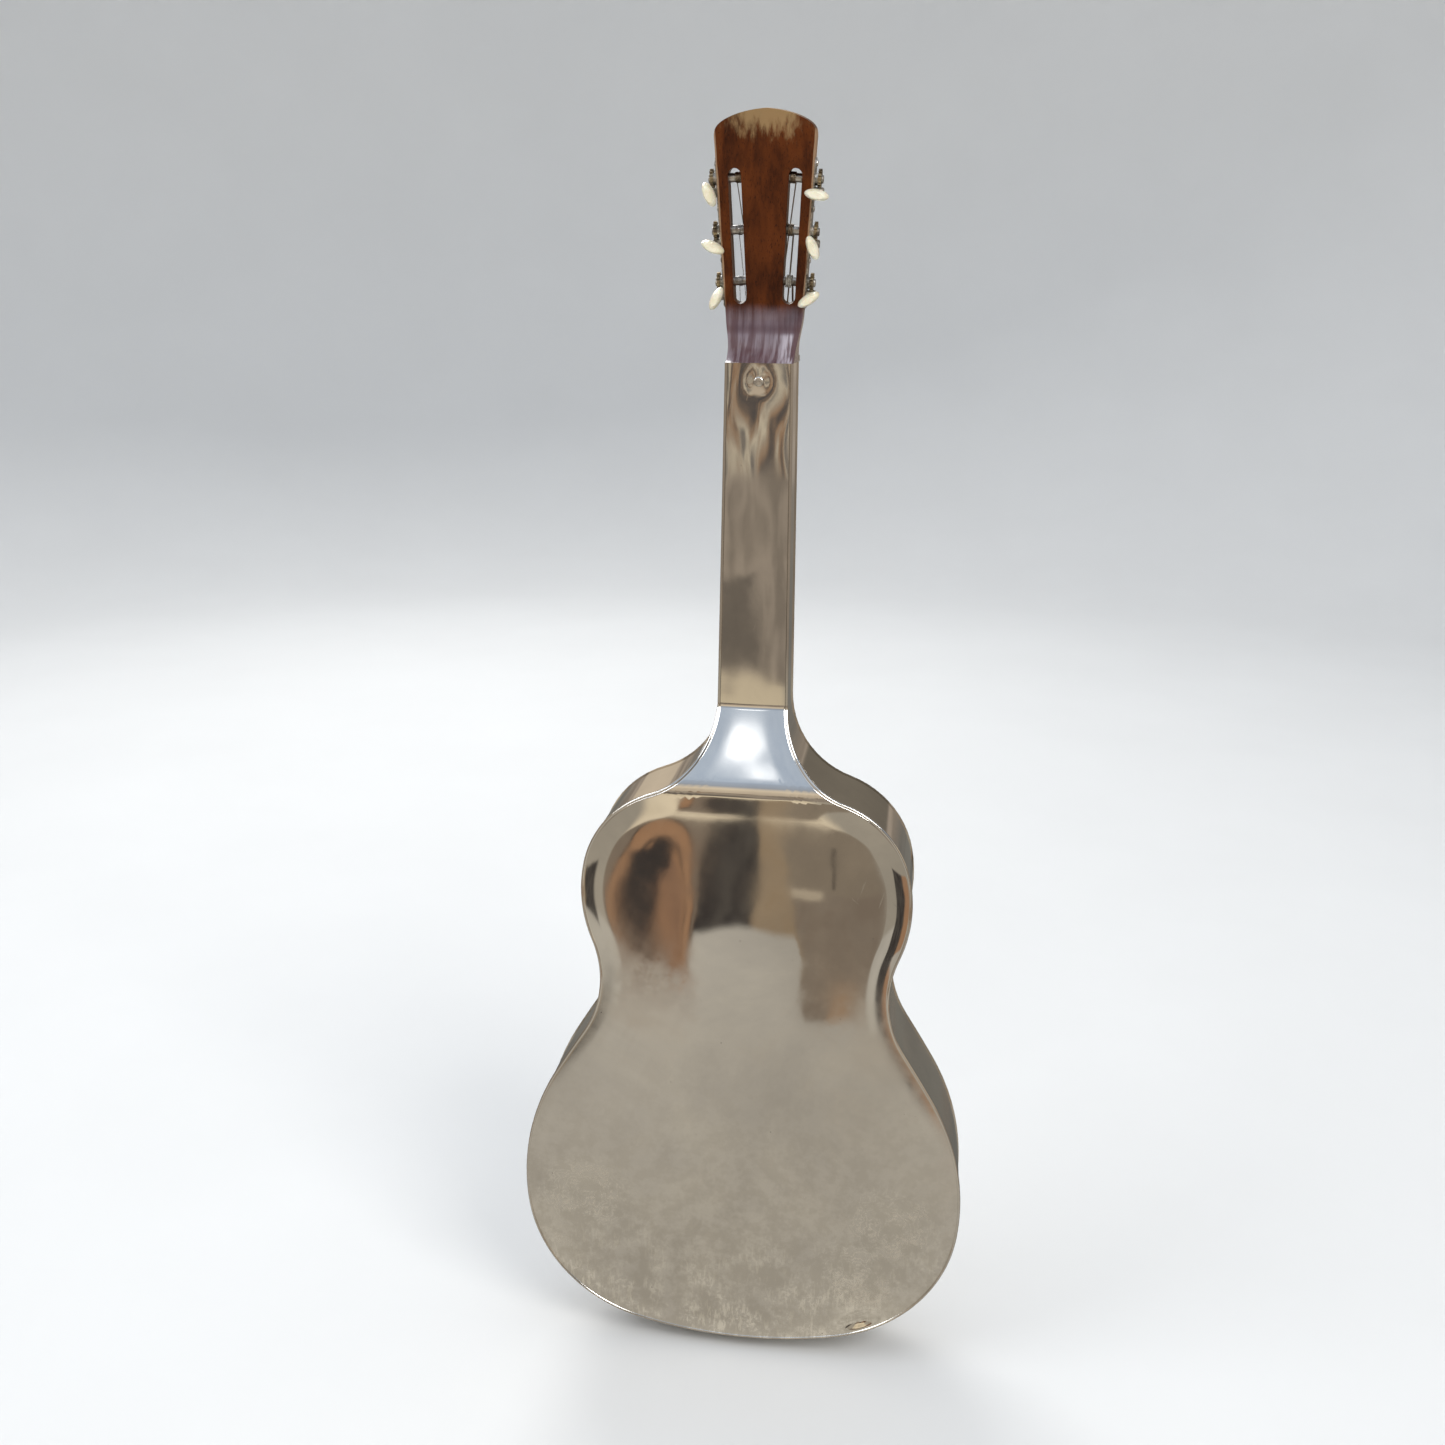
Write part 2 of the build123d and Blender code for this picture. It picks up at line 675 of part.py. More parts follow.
# ---------------------------------------------------------------- tuner plates, three to a side
lug_gap = 11.0
lug_thickness = 1.2
lug_width = 6.4
lug_height = gear_level + 3.2
lug_hole = 1.3
post_hole = 3.05
with BuildPart() as tuner_plate_treble:
    with BuildSketch(plate_plane):
        SlotOverall(plate_length, plate_width)
        with Locations(*[(spot, 0) for spot in station_spots]):
            Circle(post_hole, mode=Mode.SUBTRACT)
        with Locations(*[(spot, 0) for spot in plate_screw_spots]):
            Circle(plate_screw_hole, mode=Mode.SUBTRACT)
    extrude(amount=tuner_plate)
    for spot in station_spots:
        for side in (-1, 1):
            lug_plane = Plane(
                origin=plate_plane.from_local_coords((spot - worm_offset, side * lug_gap / 2, 0)),
                x_dir=plate_plane.x_dir,
                z_dir=plate_plane.y_dir * side,
            )
            with BuildSketch(lug_plane):
                with Locations((0, -side * lug_height / 2)):
                    RectangleRounded(lug_width, lug_height, 1.5)
                with Locations((0, -side * 1.5)):
                    Rectangle(lug_width, 3)
                with Locations((0, -side * gear_level)):
                    Circle(lug_hole, mode=Mode.SUBTRACT)
            extrude(amount=lug_thickness)
save(tuner_plate_treble, "tuner_plate_treble")

with BuildPart() as tuner_plate_bass:
    mirror(tuner_plate_treble.part, about=Plane.YZ)
save(tuner_plate_bass, "tuner_plate_bass")

with BuildPart() as tuner_plate_screws:
    screw = dome_screw(*plate_screw, plate_screw_depth + 0.5)
    for spot in plate_screw_spots:
        add(plate_plane.offset(tuner_plate).location * Pos(spot, 0, 0) * screw)
    mirror(tuner_plate_screws.part, about=Plane.YZ)
save(tuner_plate_screws, "tuner_plate_screws")

# ---------------------------------------------------------------- tuner pieces about their own axes
shaft_radius = 1.25
shaft_low = -7.8
worm_core = 1.75
worm_tip = 3.0
collar_radius = 2.3
collar_levels = (8.4, 11.0)
button_start = collar_levels[1]
with BuildPart() as thread:
    with BuildLine() as spine:
        Helix(pitch=worm_lead, height=4 * worm_lead, radius=1.6, center=(0, 0, -2 * worm_lead))
    with BuildSketch(Plane(origin=spine.line @ 0, x_dir=(1, 0, 0), z_dir=spine.line % 0)):
        with BuildLine():
            Polyline((0, -0.65), (1.4, -0.3), (1.4, 0.3), (0, 0.65), close=True)
        make_face()
    sweep(path=spine.line, is_frenet=True)

with BuildPart() as worm_shape:
    add(thread.part)
    Cylinder(worm_tip, lug_gap - 1.2, mode=Mode.INTERSECT)
    Cylinder(worm_core, lug_gap - 0.3)
    with BuildSketch(Plane.XY.offset(shaft_low)):
        Circle(shaft_radius)
    extrude(amount=button_start - shaft_low)
    with BuildSketch(Plane.XY.offset(collar_levels[0])):
        Circle(collar_radius)
    extrude(amount=collar_levels[1] - collar_levels[0])
    chamfer(worm_shape.edges().group_by(Axis.Z)[-1], length=0.4)

# Height, half width and half thickness of each section of a button.
button_sections = ((0.0, 3.4, 2.5), (4.0, 7.6, 3.3), (9.0, 8.75, 3.75), (14.5, 7.9, 3.3), (18.5, 5.0, 2.0))
with BuildPart() as button_shape:
    for rise, half_width, half_depth in button_sections:
        with BuildSketch(Plane.XY.offset(button_start + rise)):
            Ellipse(half_width, half_depth)
    loft()

tooth_angle = 360 / gear_teeth
gear_root = 5.7
gear_tip = 7.05
gear_low = gear_level - gear_thickness / 2
gear_high = gear_level + gear_thickness / 2
square_hole = 3.7
square_width = 3.6
with BuildSketch() as tooth:
    with BuildLine():
        Polyline((5.4, -0.62), (gear_tip, -0.3), (gear_tip, 0.3), (5.4, 0.62), close=True)
    make_face()

with BuildPart() as gear_shape:
    with BuildSketch(Plane.XY.offset(gear_low)):
        Circle(gear_root)
        with PolarLocations(0, gear_teeth, start_angle=tooth_angle / 2):
            add(tooth.sketch)
        Rectangle(square_hole, square_hole, mode=Mode.SUBTRACT)
    extrude(amount=gear_thickness)

post_gap = 0.2                                     # end play of the roller in its bore
post_neck = 3.0
post_shoulder = 4.4
shoulder_low = tuner_plate + 0.1
cap_radius = 2.9
cap_height = 1.5
cap_round = 0.8
cap_slot = (8, 0.6, 1.4)
with BuildPart() as post_shape:
    with BuildSketch(Plane.XY.offset(post_gap - bore_depth)):
        Circle(roller_radius)
    extrude(amount=bore_depth - 2 * post_gap)
    with BuildSketch(Plane.XY.offset(-post_gap)):
        Circle(post_neck)
    extrude(amount=shoulder_low + post_gap)
    with BuildSketch(Plane.XY.offset(shoulder_low)):
        Circle(post_shoulder)
    extrude(amount=gear_low - shoulder_low)
    with BuildSketch(Plane.XY.offset(shoulder_low)):
        Rectangle(square_width, square_width)
    extrude(amount=gear_high - shoulder_low)
    with BuildSketch(Plane.XY.offset(gear_high)):
        Circle(cap_radius)
    extrude(amount=cap_height)
    fillet(post_shape.edges().sort_by(Axis.Z)[-1], radius=cap_round)
    with Locations((0, 0, gear_high + cap_height)):
        Box(*cap_slot, mode=Mode.SUBTRACT)

# ---------------------------------------------------------------- six tuners, strings 6 5 4 and 1 2 3
bass_numbers = (6, 5, 4)
treble_numbers = (1, 2, 3)
tuner_pieces = (("worm", worm_shape), ("gear", gear_shape), ("post", post_shape))
for index, station in enumerate(station_planes):
    for piece_name, shape in tuner_pieces:
        place = worm_plane(station) if piece_name == "worm" else station
        with BuildPart(place) as treble_piece:
            add(shape.part)
        save(treble_piece, f"{piece_name}_{treble_numbers[index]}")
        with BuildPart() as bass_piece:
            mirror(treble_piece.part, about=Plane.YZ)
        save(bass_piece, f"{piece_name}_{bass_numbers[index]}")
    with BuildPart(worm_plane(station)) as treble_button:
        add(button_shape.part, rotation=(0, 0, button_angles_treble[index]))
    save(treble_button, f"button_{treble_numbers[index]}")
    with BuildPart(worm_plane(station)) as bass_button_twin:
        add(button_shape.part, rotation=(0, 0, button_angles_bass[index]))
    with BuildPart() as bass_button:
        mirror(bass_button_twin.part, about=Plane.YZ)
    save(bass_button, f"button_{bass_numbers[index]}")

# ---------------------------------------------------------------- six strings, ball end to roller
post_reach = (19.5, 20.0, 21.5)         # how far out each string meets its roller, nut end first
ball_radius = 2.0
ball_length = 3.6
roller_lift = 0.2                       # of a string's axis end clear of the roller
for index, radius in enumerate(string_radii):
    number = 6 - index
    side = -1 if number > 3 else 1
    order = (bass_numbers if side < 0 else treble_numbers).index(number)
    spot = -string_spots[index]
    touch = head_thickness / 2 - roller_radius - radius - roller_lift
    route = [
        Vector(spot * tail_spacing, string_tail_y, string_tail_z),
        Vector(spot * saddle_spacing, string_saddle_y, saddle_height),
        Vector(spot * nut_spacing, string_nut_y, head_start + 0.2),
        head_point(side * post_reach[order], tuner_stations[order], touch),
    ]
    with BuildPart() as string:
        for start, end in zip(route, route[1:]):
            run = end - start
            with BuildSketch(Plane(origin=start, z_dir=run)):
                Circle(radius)
            extrude(amount=run.length)
        for bend in route[1:3]:
            with Locations(bend):
                Sphere(radius)
        with Locations(Plane(origin=route[0], z_dir=(1, 0, 0))):
            Cylinder(ball_radius, ball_length)
    save(string, f"string_{number}")
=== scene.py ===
import json
from math import ceil, cos, pi, radians, sin

import bmesh
import bpy
from mathutils import Matrix, Vector, noise

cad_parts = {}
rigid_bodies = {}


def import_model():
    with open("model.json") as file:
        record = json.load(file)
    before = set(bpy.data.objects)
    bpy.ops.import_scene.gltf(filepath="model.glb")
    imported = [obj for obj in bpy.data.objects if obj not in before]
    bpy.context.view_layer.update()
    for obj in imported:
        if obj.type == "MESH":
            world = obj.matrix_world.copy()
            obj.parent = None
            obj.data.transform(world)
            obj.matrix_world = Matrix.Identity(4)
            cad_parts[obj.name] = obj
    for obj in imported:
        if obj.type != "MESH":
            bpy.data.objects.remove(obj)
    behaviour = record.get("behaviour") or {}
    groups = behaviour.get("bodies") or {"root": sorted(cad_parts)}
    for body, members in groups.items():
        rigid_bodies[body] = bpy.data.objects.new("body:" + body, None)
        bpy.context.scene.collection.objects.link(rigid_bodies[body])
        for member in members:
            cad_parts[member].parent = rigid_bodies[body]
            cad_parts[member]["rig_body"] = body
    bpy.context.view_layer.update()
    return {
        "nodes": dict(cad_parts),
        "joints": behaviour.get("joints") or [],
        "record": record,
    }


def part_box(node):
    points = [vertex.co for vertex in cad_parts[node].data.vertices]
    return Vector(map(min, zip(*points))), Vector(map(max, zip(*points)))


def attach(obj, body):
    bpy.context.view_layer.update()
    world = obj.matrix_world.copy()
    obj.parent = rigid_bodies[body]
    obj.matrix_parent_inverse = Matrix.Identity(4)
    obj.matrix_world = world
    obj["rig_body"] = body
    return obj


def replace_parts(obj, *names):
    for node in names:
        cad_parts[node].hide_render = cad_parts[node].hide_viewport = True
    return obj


# All-metal resonator guitar standing on its strap pin, seen from behind.  +Z runs up to the head,
# the back faces +Y and the bass side is -X.  Lengths are in metres.

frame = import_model()
nodes = frame["nodes"]
scene = bpy.context.scene
MM = 0.001

# ---------------------------------------------------------------- dimensions shared with the CAD part
# Half outline of the body from the middle of the tail: radius and turn of each tangent arc.
OUTLINE_ARCS = (
    (0.367, 13.2),
    (0.125, 70.0),
    (0.196, 37.7),
    (1.400, 1.8),
    (0.089, -54.4),
    (0.115, 33.6),
    (0.080, 58.9),
    (0.072, -70.3),
)
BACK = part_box("body_back")[1].y
NECK_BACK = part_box("headstock")[1].y
NUT_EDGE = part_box("body_back")[1].z
RAMP_LOW = 0.491
RAMP_HIGH = 0.549
HEAD_TILT = radians(8.0)
HEAD_ORIGIN = Vector((0.0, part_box("headstock")[0].y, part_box("nut")[1].z))
HEAD_UP = Vector((0.0, sin(HEAD_TILT), cos(HEAD_TILT)))
HEAD_BACK = Vector((0.0, cos(HEAD_TILT), -sin(HEAD_TILT)))
ROLLER_RADIUS = 3.2 * MM


# ---------------------------------------------------------------- procedural materials
def add_node(tree, kind, inputs=None, **settings):
    """Adds a node. inputs maps an input's name or number to a value or to another node's output."""
    made = tree.nodes.new(kind)
    for name, value in settings.items():
        setattr(made, name, value)
    for key, value in (inputs or {}).items():
        if isinstance(value, bpy.types.NodeSocket):
            tree.links.new(value, made.inputs[key])
        else:
            made.inputs[key].default_value = value
    return made


def grey(level):
    """A colour of equal red, green and blue."""
    return (level, level, level)


class Painter:
    """Short names for the nodes that all the procedural finishes share."""

    def __init__(self, tree, place):
        self.tree = tree
        self.place = place

    def mapped(self, stretch=(1, 1, 1), turn=(0, 0, 0), centre=(0, 0, 0)):
        """Coordinates scaled by stretch after a turn, about a centre."""
        offset = {0: self.place, 1: centre}
        moved = add_node(self.tree, "ShaderNodeVectorMath", offset, operation="SUBTRACT")
        turning = {"Vector": moved.outputs[0], "Rotation": turn}
        turned = add_node(self.tree, "ShaderNodeMapping", turning)
        scaling = {"Vector": turned.outputs[0], "Scale": stretch}
        return add_node(self.tree, "ShaderNodeMapping", scaling).outputs[0]

    def clouds(self, scale, detail=4.0, rough=0.55, warp=0.0, **where):
        """Cloudy values from about 0.25 to 0.75."""
        inputs = {
            "Vector": self.mapped(**where),
            "Scale": scale,
            "Detail": detail,
            "Roughness": rough,
            "Distortion": warp,
        }
        return add_node(self.tree, "ShaderNodeTexNoise", inputs).outputs["Fac"]

    def cells(self, scale, **where):
        """Distance to the nearest of many scattered points."""
        inputs = {"Vector": self.mapped(**where), "Scale": scale}
        return add_node(self.tree, "ShaderNodeTexVoronoi", inputs).outputs["Distance"]

    def waves(self, scale, kind="BANDS", axis="Z", warp=0.0, **where):
        """Regular ridges along an axis, or rings about it."""
        inputs = {
            "Vector": self.mapped(**where),
            "Scale": scale,
            "Distortion": warp,
            "Detail": 3.0,
            "Detail Scale": 2.0,
        }
        made = add_node(self.tree, "ShaderNodeTexWave", inputs, wave_type=kind)
        if kind == "BANDS":
            made.bands_direction = axis
        else:
            made.rings_direction = axis
        return made.outputs["Fac"]

    def axis(self, letter, **where):
        """One coordinate in metres."""
        split = add_node(self.tree, "ShaderNodeSeparateXYZ", {0: self.mapped(**where)})
        return split.outputs[letter]

    def math(self, operation, first, second=0.0, third=0.0):
        """One arithmetic step."""
        inputs = {0: first, 1: second, 2: third}
        return add_node(self.tree, "ShaderNodeMath", inputs, operation=operation).outputs[0]

    def ellipse(self, across, up, centre, half):
        """Distance from a centre, 1 on the ellipse with these half widths."""
        parts = []
        for value, middle, reach in zip((across, up), centre, half):
            share = self.math("DIVIDE", self.math("SUBTRACT", value, middle), reach)
            parts.append(self.math("POWER", self.math("ABSOLUTE", share), 2.0))
        return self.math("SQRT", self.math("ADD", *parts))

    def fade(self, value, start, end, low=0.0, high=1.0):
        """Goes smoothly from low to high as value goes from start to end."""
        inputs = {0: value, 1: start, 2: end, 3: low, 4: high}
        made = add_node(self.tree, "ShaderNodeMapRange", inputs, interpolation_type="SMOOTHSTEP")
        return made.outputs[0]

    def between(self, value, start, end, soft):
        """1 where value lies between start and end, with soft edges."""
        rise = self.fade(value, start - soft, start + soft)
        fall = self.fade(value, end - soft, end + soft, 1.0, 0.0)
        return self.math("MULTIPLY", rise, fall)

    def ramp(self, value, *stops):
        """Colour and alpha that follow value through (position, colour) stops."""
        made = add_node(self.tree, "ShaderNodeValToRGB", {0: value})
        band = made.color_ramp
        for index, (position, colour) in enumerate(stops):
            stop = band.elements[index] if index < 2 else band.elements.new(position)
            stop.position = position
            stop.color = (*colour[:3], colour[3] if len(colour) > 3 else 1.0)
        return made.outputs["Color"], made.outputs["Alpha"]

    def mix(self, share, first, second):
        """Colour between first and second."""
        made = add_node(self.tree, "ShaderNodeMix", data_type="RGBA")
        for socket, value in zip((0, 6, 7), (share, first, second)):
            if isinstance(value, bpy.types.NodeSocket):
                self.tree.links.new(value, made.inputs[socket])
            elif socket == 0:
                made.inputs[socket].default_value = value
            else:
                made.inputs[socket].default_value = (*value[:3], 1.0)
        return made.outputs[2]

    def painted(self, tone, *layers):
        """Tone with (mask, share, colour) layers laid over it in turn."""
        for mask, share, colour in layers:
            tone = self.mix(self.math("MULTIPLY", mask, share), tone, colour)
        return tone

    def raised(self, level, *masks):
        """Level with a share of each (mask, share) added to it."""
        for mask, share in masks:
            level = self.math("MULTIPLY_ADD", mask, share, level)
        return level


class Finish(Painter):
    """One procedural material on a Principled shader."""

    def __init__(self, name, **fixed):
        self.material = bpy.data.materials.new(name)
        self.material.use_nodes = True
        tree = self.material.node_tree
        place = add_node(tree, "ShaderNodeTexCoord").outputs["Object"]
        super().__init__(tree, place)
        self.shader = tree.nodes["Principled BSDF"]
        for key, value in fixed.items():
            self.shader.inputs[key.replace("_", " ")].default_value = value
        self.normal = None

    def set(self, name, value):
        """Links a colour or value to one input of the shader."""
        self.tree.links.new(value, self.shader.inputs[name])

    def bump(self, height, strength, depth):
        """Adds relief on top of the relief that is there already."""
        inputs = {"Height": height, "Strength": strength, "Distance": depth}
        if self.normal is not None:
            inputs["Normal"] = self.normal
        self.normal = add_node(self.tree, "ShaderNodeBump", inputs).outputs[0]
        self.set("Normal", self.normal)

    def scratches(self, scale, length, turn, share):
        """Thin straight lines: 1 on a scratch. share is how much of the surface they take."""
        streak = self.clouds(scale, detail=2.0, stretch=(1, 1, 1 / length), turn=turn)
        start = 0.5 + 0.25 * (1 - share)
        return self.fade(streak, start, start + 0.03)


# Marks on the back sheet: middles of the rubbed arcs and half widths of their reach, then the place
# (x, z) and half widths of a smudge and of the knock near the tail, which has stayed bright.
ARC_CENTRES = ((0.130, BACK, 0.126), (-0.128, BACK, 0.122), (-0.100, BACK, 0.072))
ARC_REACH = (0.052, 0.044)
SMUDGE = ((0.075, 0.318), (0.050, 0.034))
BRIGHT_KNOCK = ((-0.1035, 0.0285), (0.026, 0.0165))


def plated(name, light, dark, gloss, haze, waves):
    """Old polished nickel plate: cloudy haze, wiping marks, hairline scratches, rubbed arcs where
    hands and stands touched it low down, and dark pits."""
    made = Finish(name, Metallic=1.0)
    soft_clouds = made.clouds(7, detail=5.0, rough=0.62, warp=0.4)
    fine_clouds = made.clouds(55, detail=6.0, rough=0.7)
    wipes = made.clouds(38, detail=5.0, stretch=(1, 1, 0.08), turn=(0, radians(24), 0))
    cross_wipes = made.clouds(30, detail=5.0, stretch=(1, 1, 0.10), turn=(0, radians(-58), 0))
    hairlines = made.scratches(640, 26, (0, radians(17), 0), 0.16)
    cross_hairlines = made.scratches(560, 30, (0, radians(-49), 0), 0.14)
    scored = made.math("MAXIMUM", hairlines, cross_hairlines)
    scored = made.math("MULTIPLY", scored, made.fade(made.clouds(11), 0.46, 0.62))
    height = made.axis("Z")
    across = made.axis("X")
    low_wear = made.fade(height, 0.33, 0.05)
    hazy_part = made.fade(height, 0.40, 0.26, 0.22, 1.0)
    tail_wear = made.fade(height, 0.135, 0.02)
    pits = made.fade(made.cells(95), 0.05, 0.035)
    pitted = made.math("MULTIPLY", pits, made.fade(fine_clouds, 0.50, 0.62))

    rubbed_arcs = None
    for centre in ARC_CENTRES:
        rings = made.waves(62, kind="RINGS", axis="Y", warp=16.0, centre=centre)
        reach = made.ellipse(across, height, (centre[0], centre[2]), ARC_REACH)
        arcs = made.math("MULTIPLY", made.fade(rings, 0.52, 0.9), made.fade(reach, 1.0, 0.35))
        rubbed_arcs = arcs if rubbed_arcs is None else made.math("MAXIMUM", rubbed_arcs, arcs)
    rubbed_arcs = made.math("MULTIPLY", rubbed_arcs, made.fade(fine_clouds, 0.40, 0.58))
    smudge = made.fade(made.ellipse(across, height, *SMUDGE), 1.1, 0.2)
    smudge = made.math("MULTIPLY", smudge, made.fade(fine_clouds, 0.40, 0.60))

    marks = made.math("ADD", wipes, cross_wipes)
    level = made.math("MULTIPLY", made.fade(soft_clouds, 0.35, 0.68), haze)
    rubbed = made.math("MULTIPLY", made.fade(marks, 0.85, 1.25), haze * 0.7)
    level = made.math("MULTIPLY", made.math("ADD", level, rubbed), hazy_part)
    level = made.math("ADD", level, gloss)
    worn = made.math("MULTIPLY", low_wear, made.fade(fine_clouds, 0.3, 0.7))
    level = made.raised(level, (worn, 0.10), (scored, 0.10), (smudge, 0.12), (rubbed_arcs, 0.20))
    knocked = made.ellipse(across, height, *BRIGHT_KNOCK)
    level = made.math("MULTIPLY", level, made.fade(knocked, 0.75, 1.05, 0.22, 1.0))
    made.set("Roughness", made.raised(level, (pitted, 0.4)))

    speckle = made.fade(made.clouds(300, detail=3.0, rough=0.75), 0.46, 0.60)
    upright = made.fade(made.clouds(420, detail=3.0, stretch=(1, 1, 0.22)), 0.52, 0.62)
    scuffed = made.math("MULTIPLY", speckle, made.fade(fine_clouds, 0.46, 0.58))
    scuffed = made.math("MULTIPLY", made.math("MAXIMUM", scuffed, upright), tail_wear)
    scuffed = made.math("MULTIPLY", scuffed, made.fade(made.clouds(26, detail=4.0), 0.40, 0.60))
    dull = made.math("MULTIPLY", made.fade(fine_clouds, 0.60, 0.40), low_wear)
    tone = made.painted(
        made.mix(made.fade(soft_clouds, 0.3, 0.7), dark, light),
        (scuffed, 0.75, (0.96, 0.93, 0.86)),
        (dull, 0.30, (0.40, 0.37, 0.31)),
        (scored, 0.14, (0.84, 0.82, 0.78)),
        (smudge, 0.20, (0.86, 0.85, 0.82)),
        (rubbed_arcs, 0.50, (0.95, 0.92, 0.85)),
    )
    made.set("Base Color", made.mix(pitted, tone, (0.06, 0.05, 0.045)))

    made.bump(made.clouds(24, detail=2.0), waves, 0.4 * MM)
    made.bump(fine_clouds, 0.05, 0.05 * MM)
    made.bump(scuffed, 0.12, 0.02 * MM)
    made.bump(made.math("ADD", scored, pitted), 0.08, -0.02 * MM)
    return made.material


def worn_steel(name, light, dark, gloss):
    """Small nickelled steel hardware with tarnish in soft patches and fine rubbing marks."""
    made = Finish(name, Metallic=1.0)
    patches = made.clouds(160, detail=5.0, rough=0.65)
    grit = made.clouds(900, detail=3.0)
    rubbed = made.clouds(700, detail=3.0, stretch=(1, 0.12, 1))
    made.set("Base Color", made.mix(made.fade(patches, 0.38, 0.62), dark, light))
    made.set("Roughness", made.raised(gloss, (made.fade(patches, 0.65, 0.35), 0.28), (rubbed, 0.16)))
    made.bump(grit, 0.10, 0.05 * MM)
    return made.material


def spun(name, centre):
    """Spun aluminium sheet with turning rings about its own middle."""
    made = Finish(name, Metallic=1.0)
    rings = made.waves(230, kind="RINGS", axis="Y", centre=centre)
    patches = made.clouds(60, detail=4.0)
    tone = made.mix(made.fade(patches, 0.3, 0.7), (0.56, 0.57, 0.58), (0.76, 0.76, 0.77))
    made.set("Base Color", tone)
    made.set("Roughness", made.raised(0.26, (rings, 0.16)))
    made.bump(rings, 0.30, 0.05 * MM)
    return made.material


def cast(name):
    """Sand-cast aluminium, filed on its faces."""
    made = Finish(name, Metallic=1.0)
    grain = made.clouds(700, detail=4.0)
    patches = made.clouds(80, detail=4.0)
    made.set("Base Color", made.mix(made.fade(patches, 0.3, 0.7), grey(0.50), grey(0.70)))
    made.set("Roughness", made.raised(0.28, (grain, 0.25)))
    made.bump(grain, 0.35, 0.12 * MM)
    return made.material


def wood(name, dark, light, pores, gloss, coat, along=(0, 0, 0)):
    """Straight-grained timber whose fibres run up the piece. Gives the finish and its colour."""
    made = Finish(name, Coat_Weight=coat, Coat_Roughness=0.12)
    made.shader.inputs["Specular IOR Level"].default_value = 0.14
    figure = made.clouds(95, detail=6.0, warp=0.35, stretch=(1, 1, 0.06), turn=along)
    fibres = made.clouds(620, detail=4.0, stretch=(1, 1, 0.03), turn=along)
    pore = made.clouds(1500, detail=2.0, stretch=(1, 1, 0.045), turn=along)
    tone = made.mix(made.fade(figure, 0.32, 0.68), dark, light)
    tone = made.mix(made.fade(fibres, 0.38, 0.66, 0.0, 0.35), tone, light)
    in_pore = made.fade(pore, 0.60, 0.68)
    tone = made.painted(tone, (in_pore, 0.8, pores))
    made.set("Base Color", tone)
    made.set("Roughness", made.raised(gloss, (fibres, 0.2)))
    made.bump(in_pore, 0.25, -0.10 * MM)
    made.bump(fibres, 0.12, 0.05 * MM)
    return made, tone


# The head measured along itself: half width at its root and how much it widens on the way up, top of
# the arched crown and its fall away from the middle, and where the glossy hollow with its painted sheen
# begins and ends.
HEAD_HALF = 26.5 * MM
HEAD_SPREAD = 0.0633
CROWN_TOP = 171.2 * MM
CROWN_FALL = -10.5
HOLLOW = (37.5 * MM, 27.0 * MM)


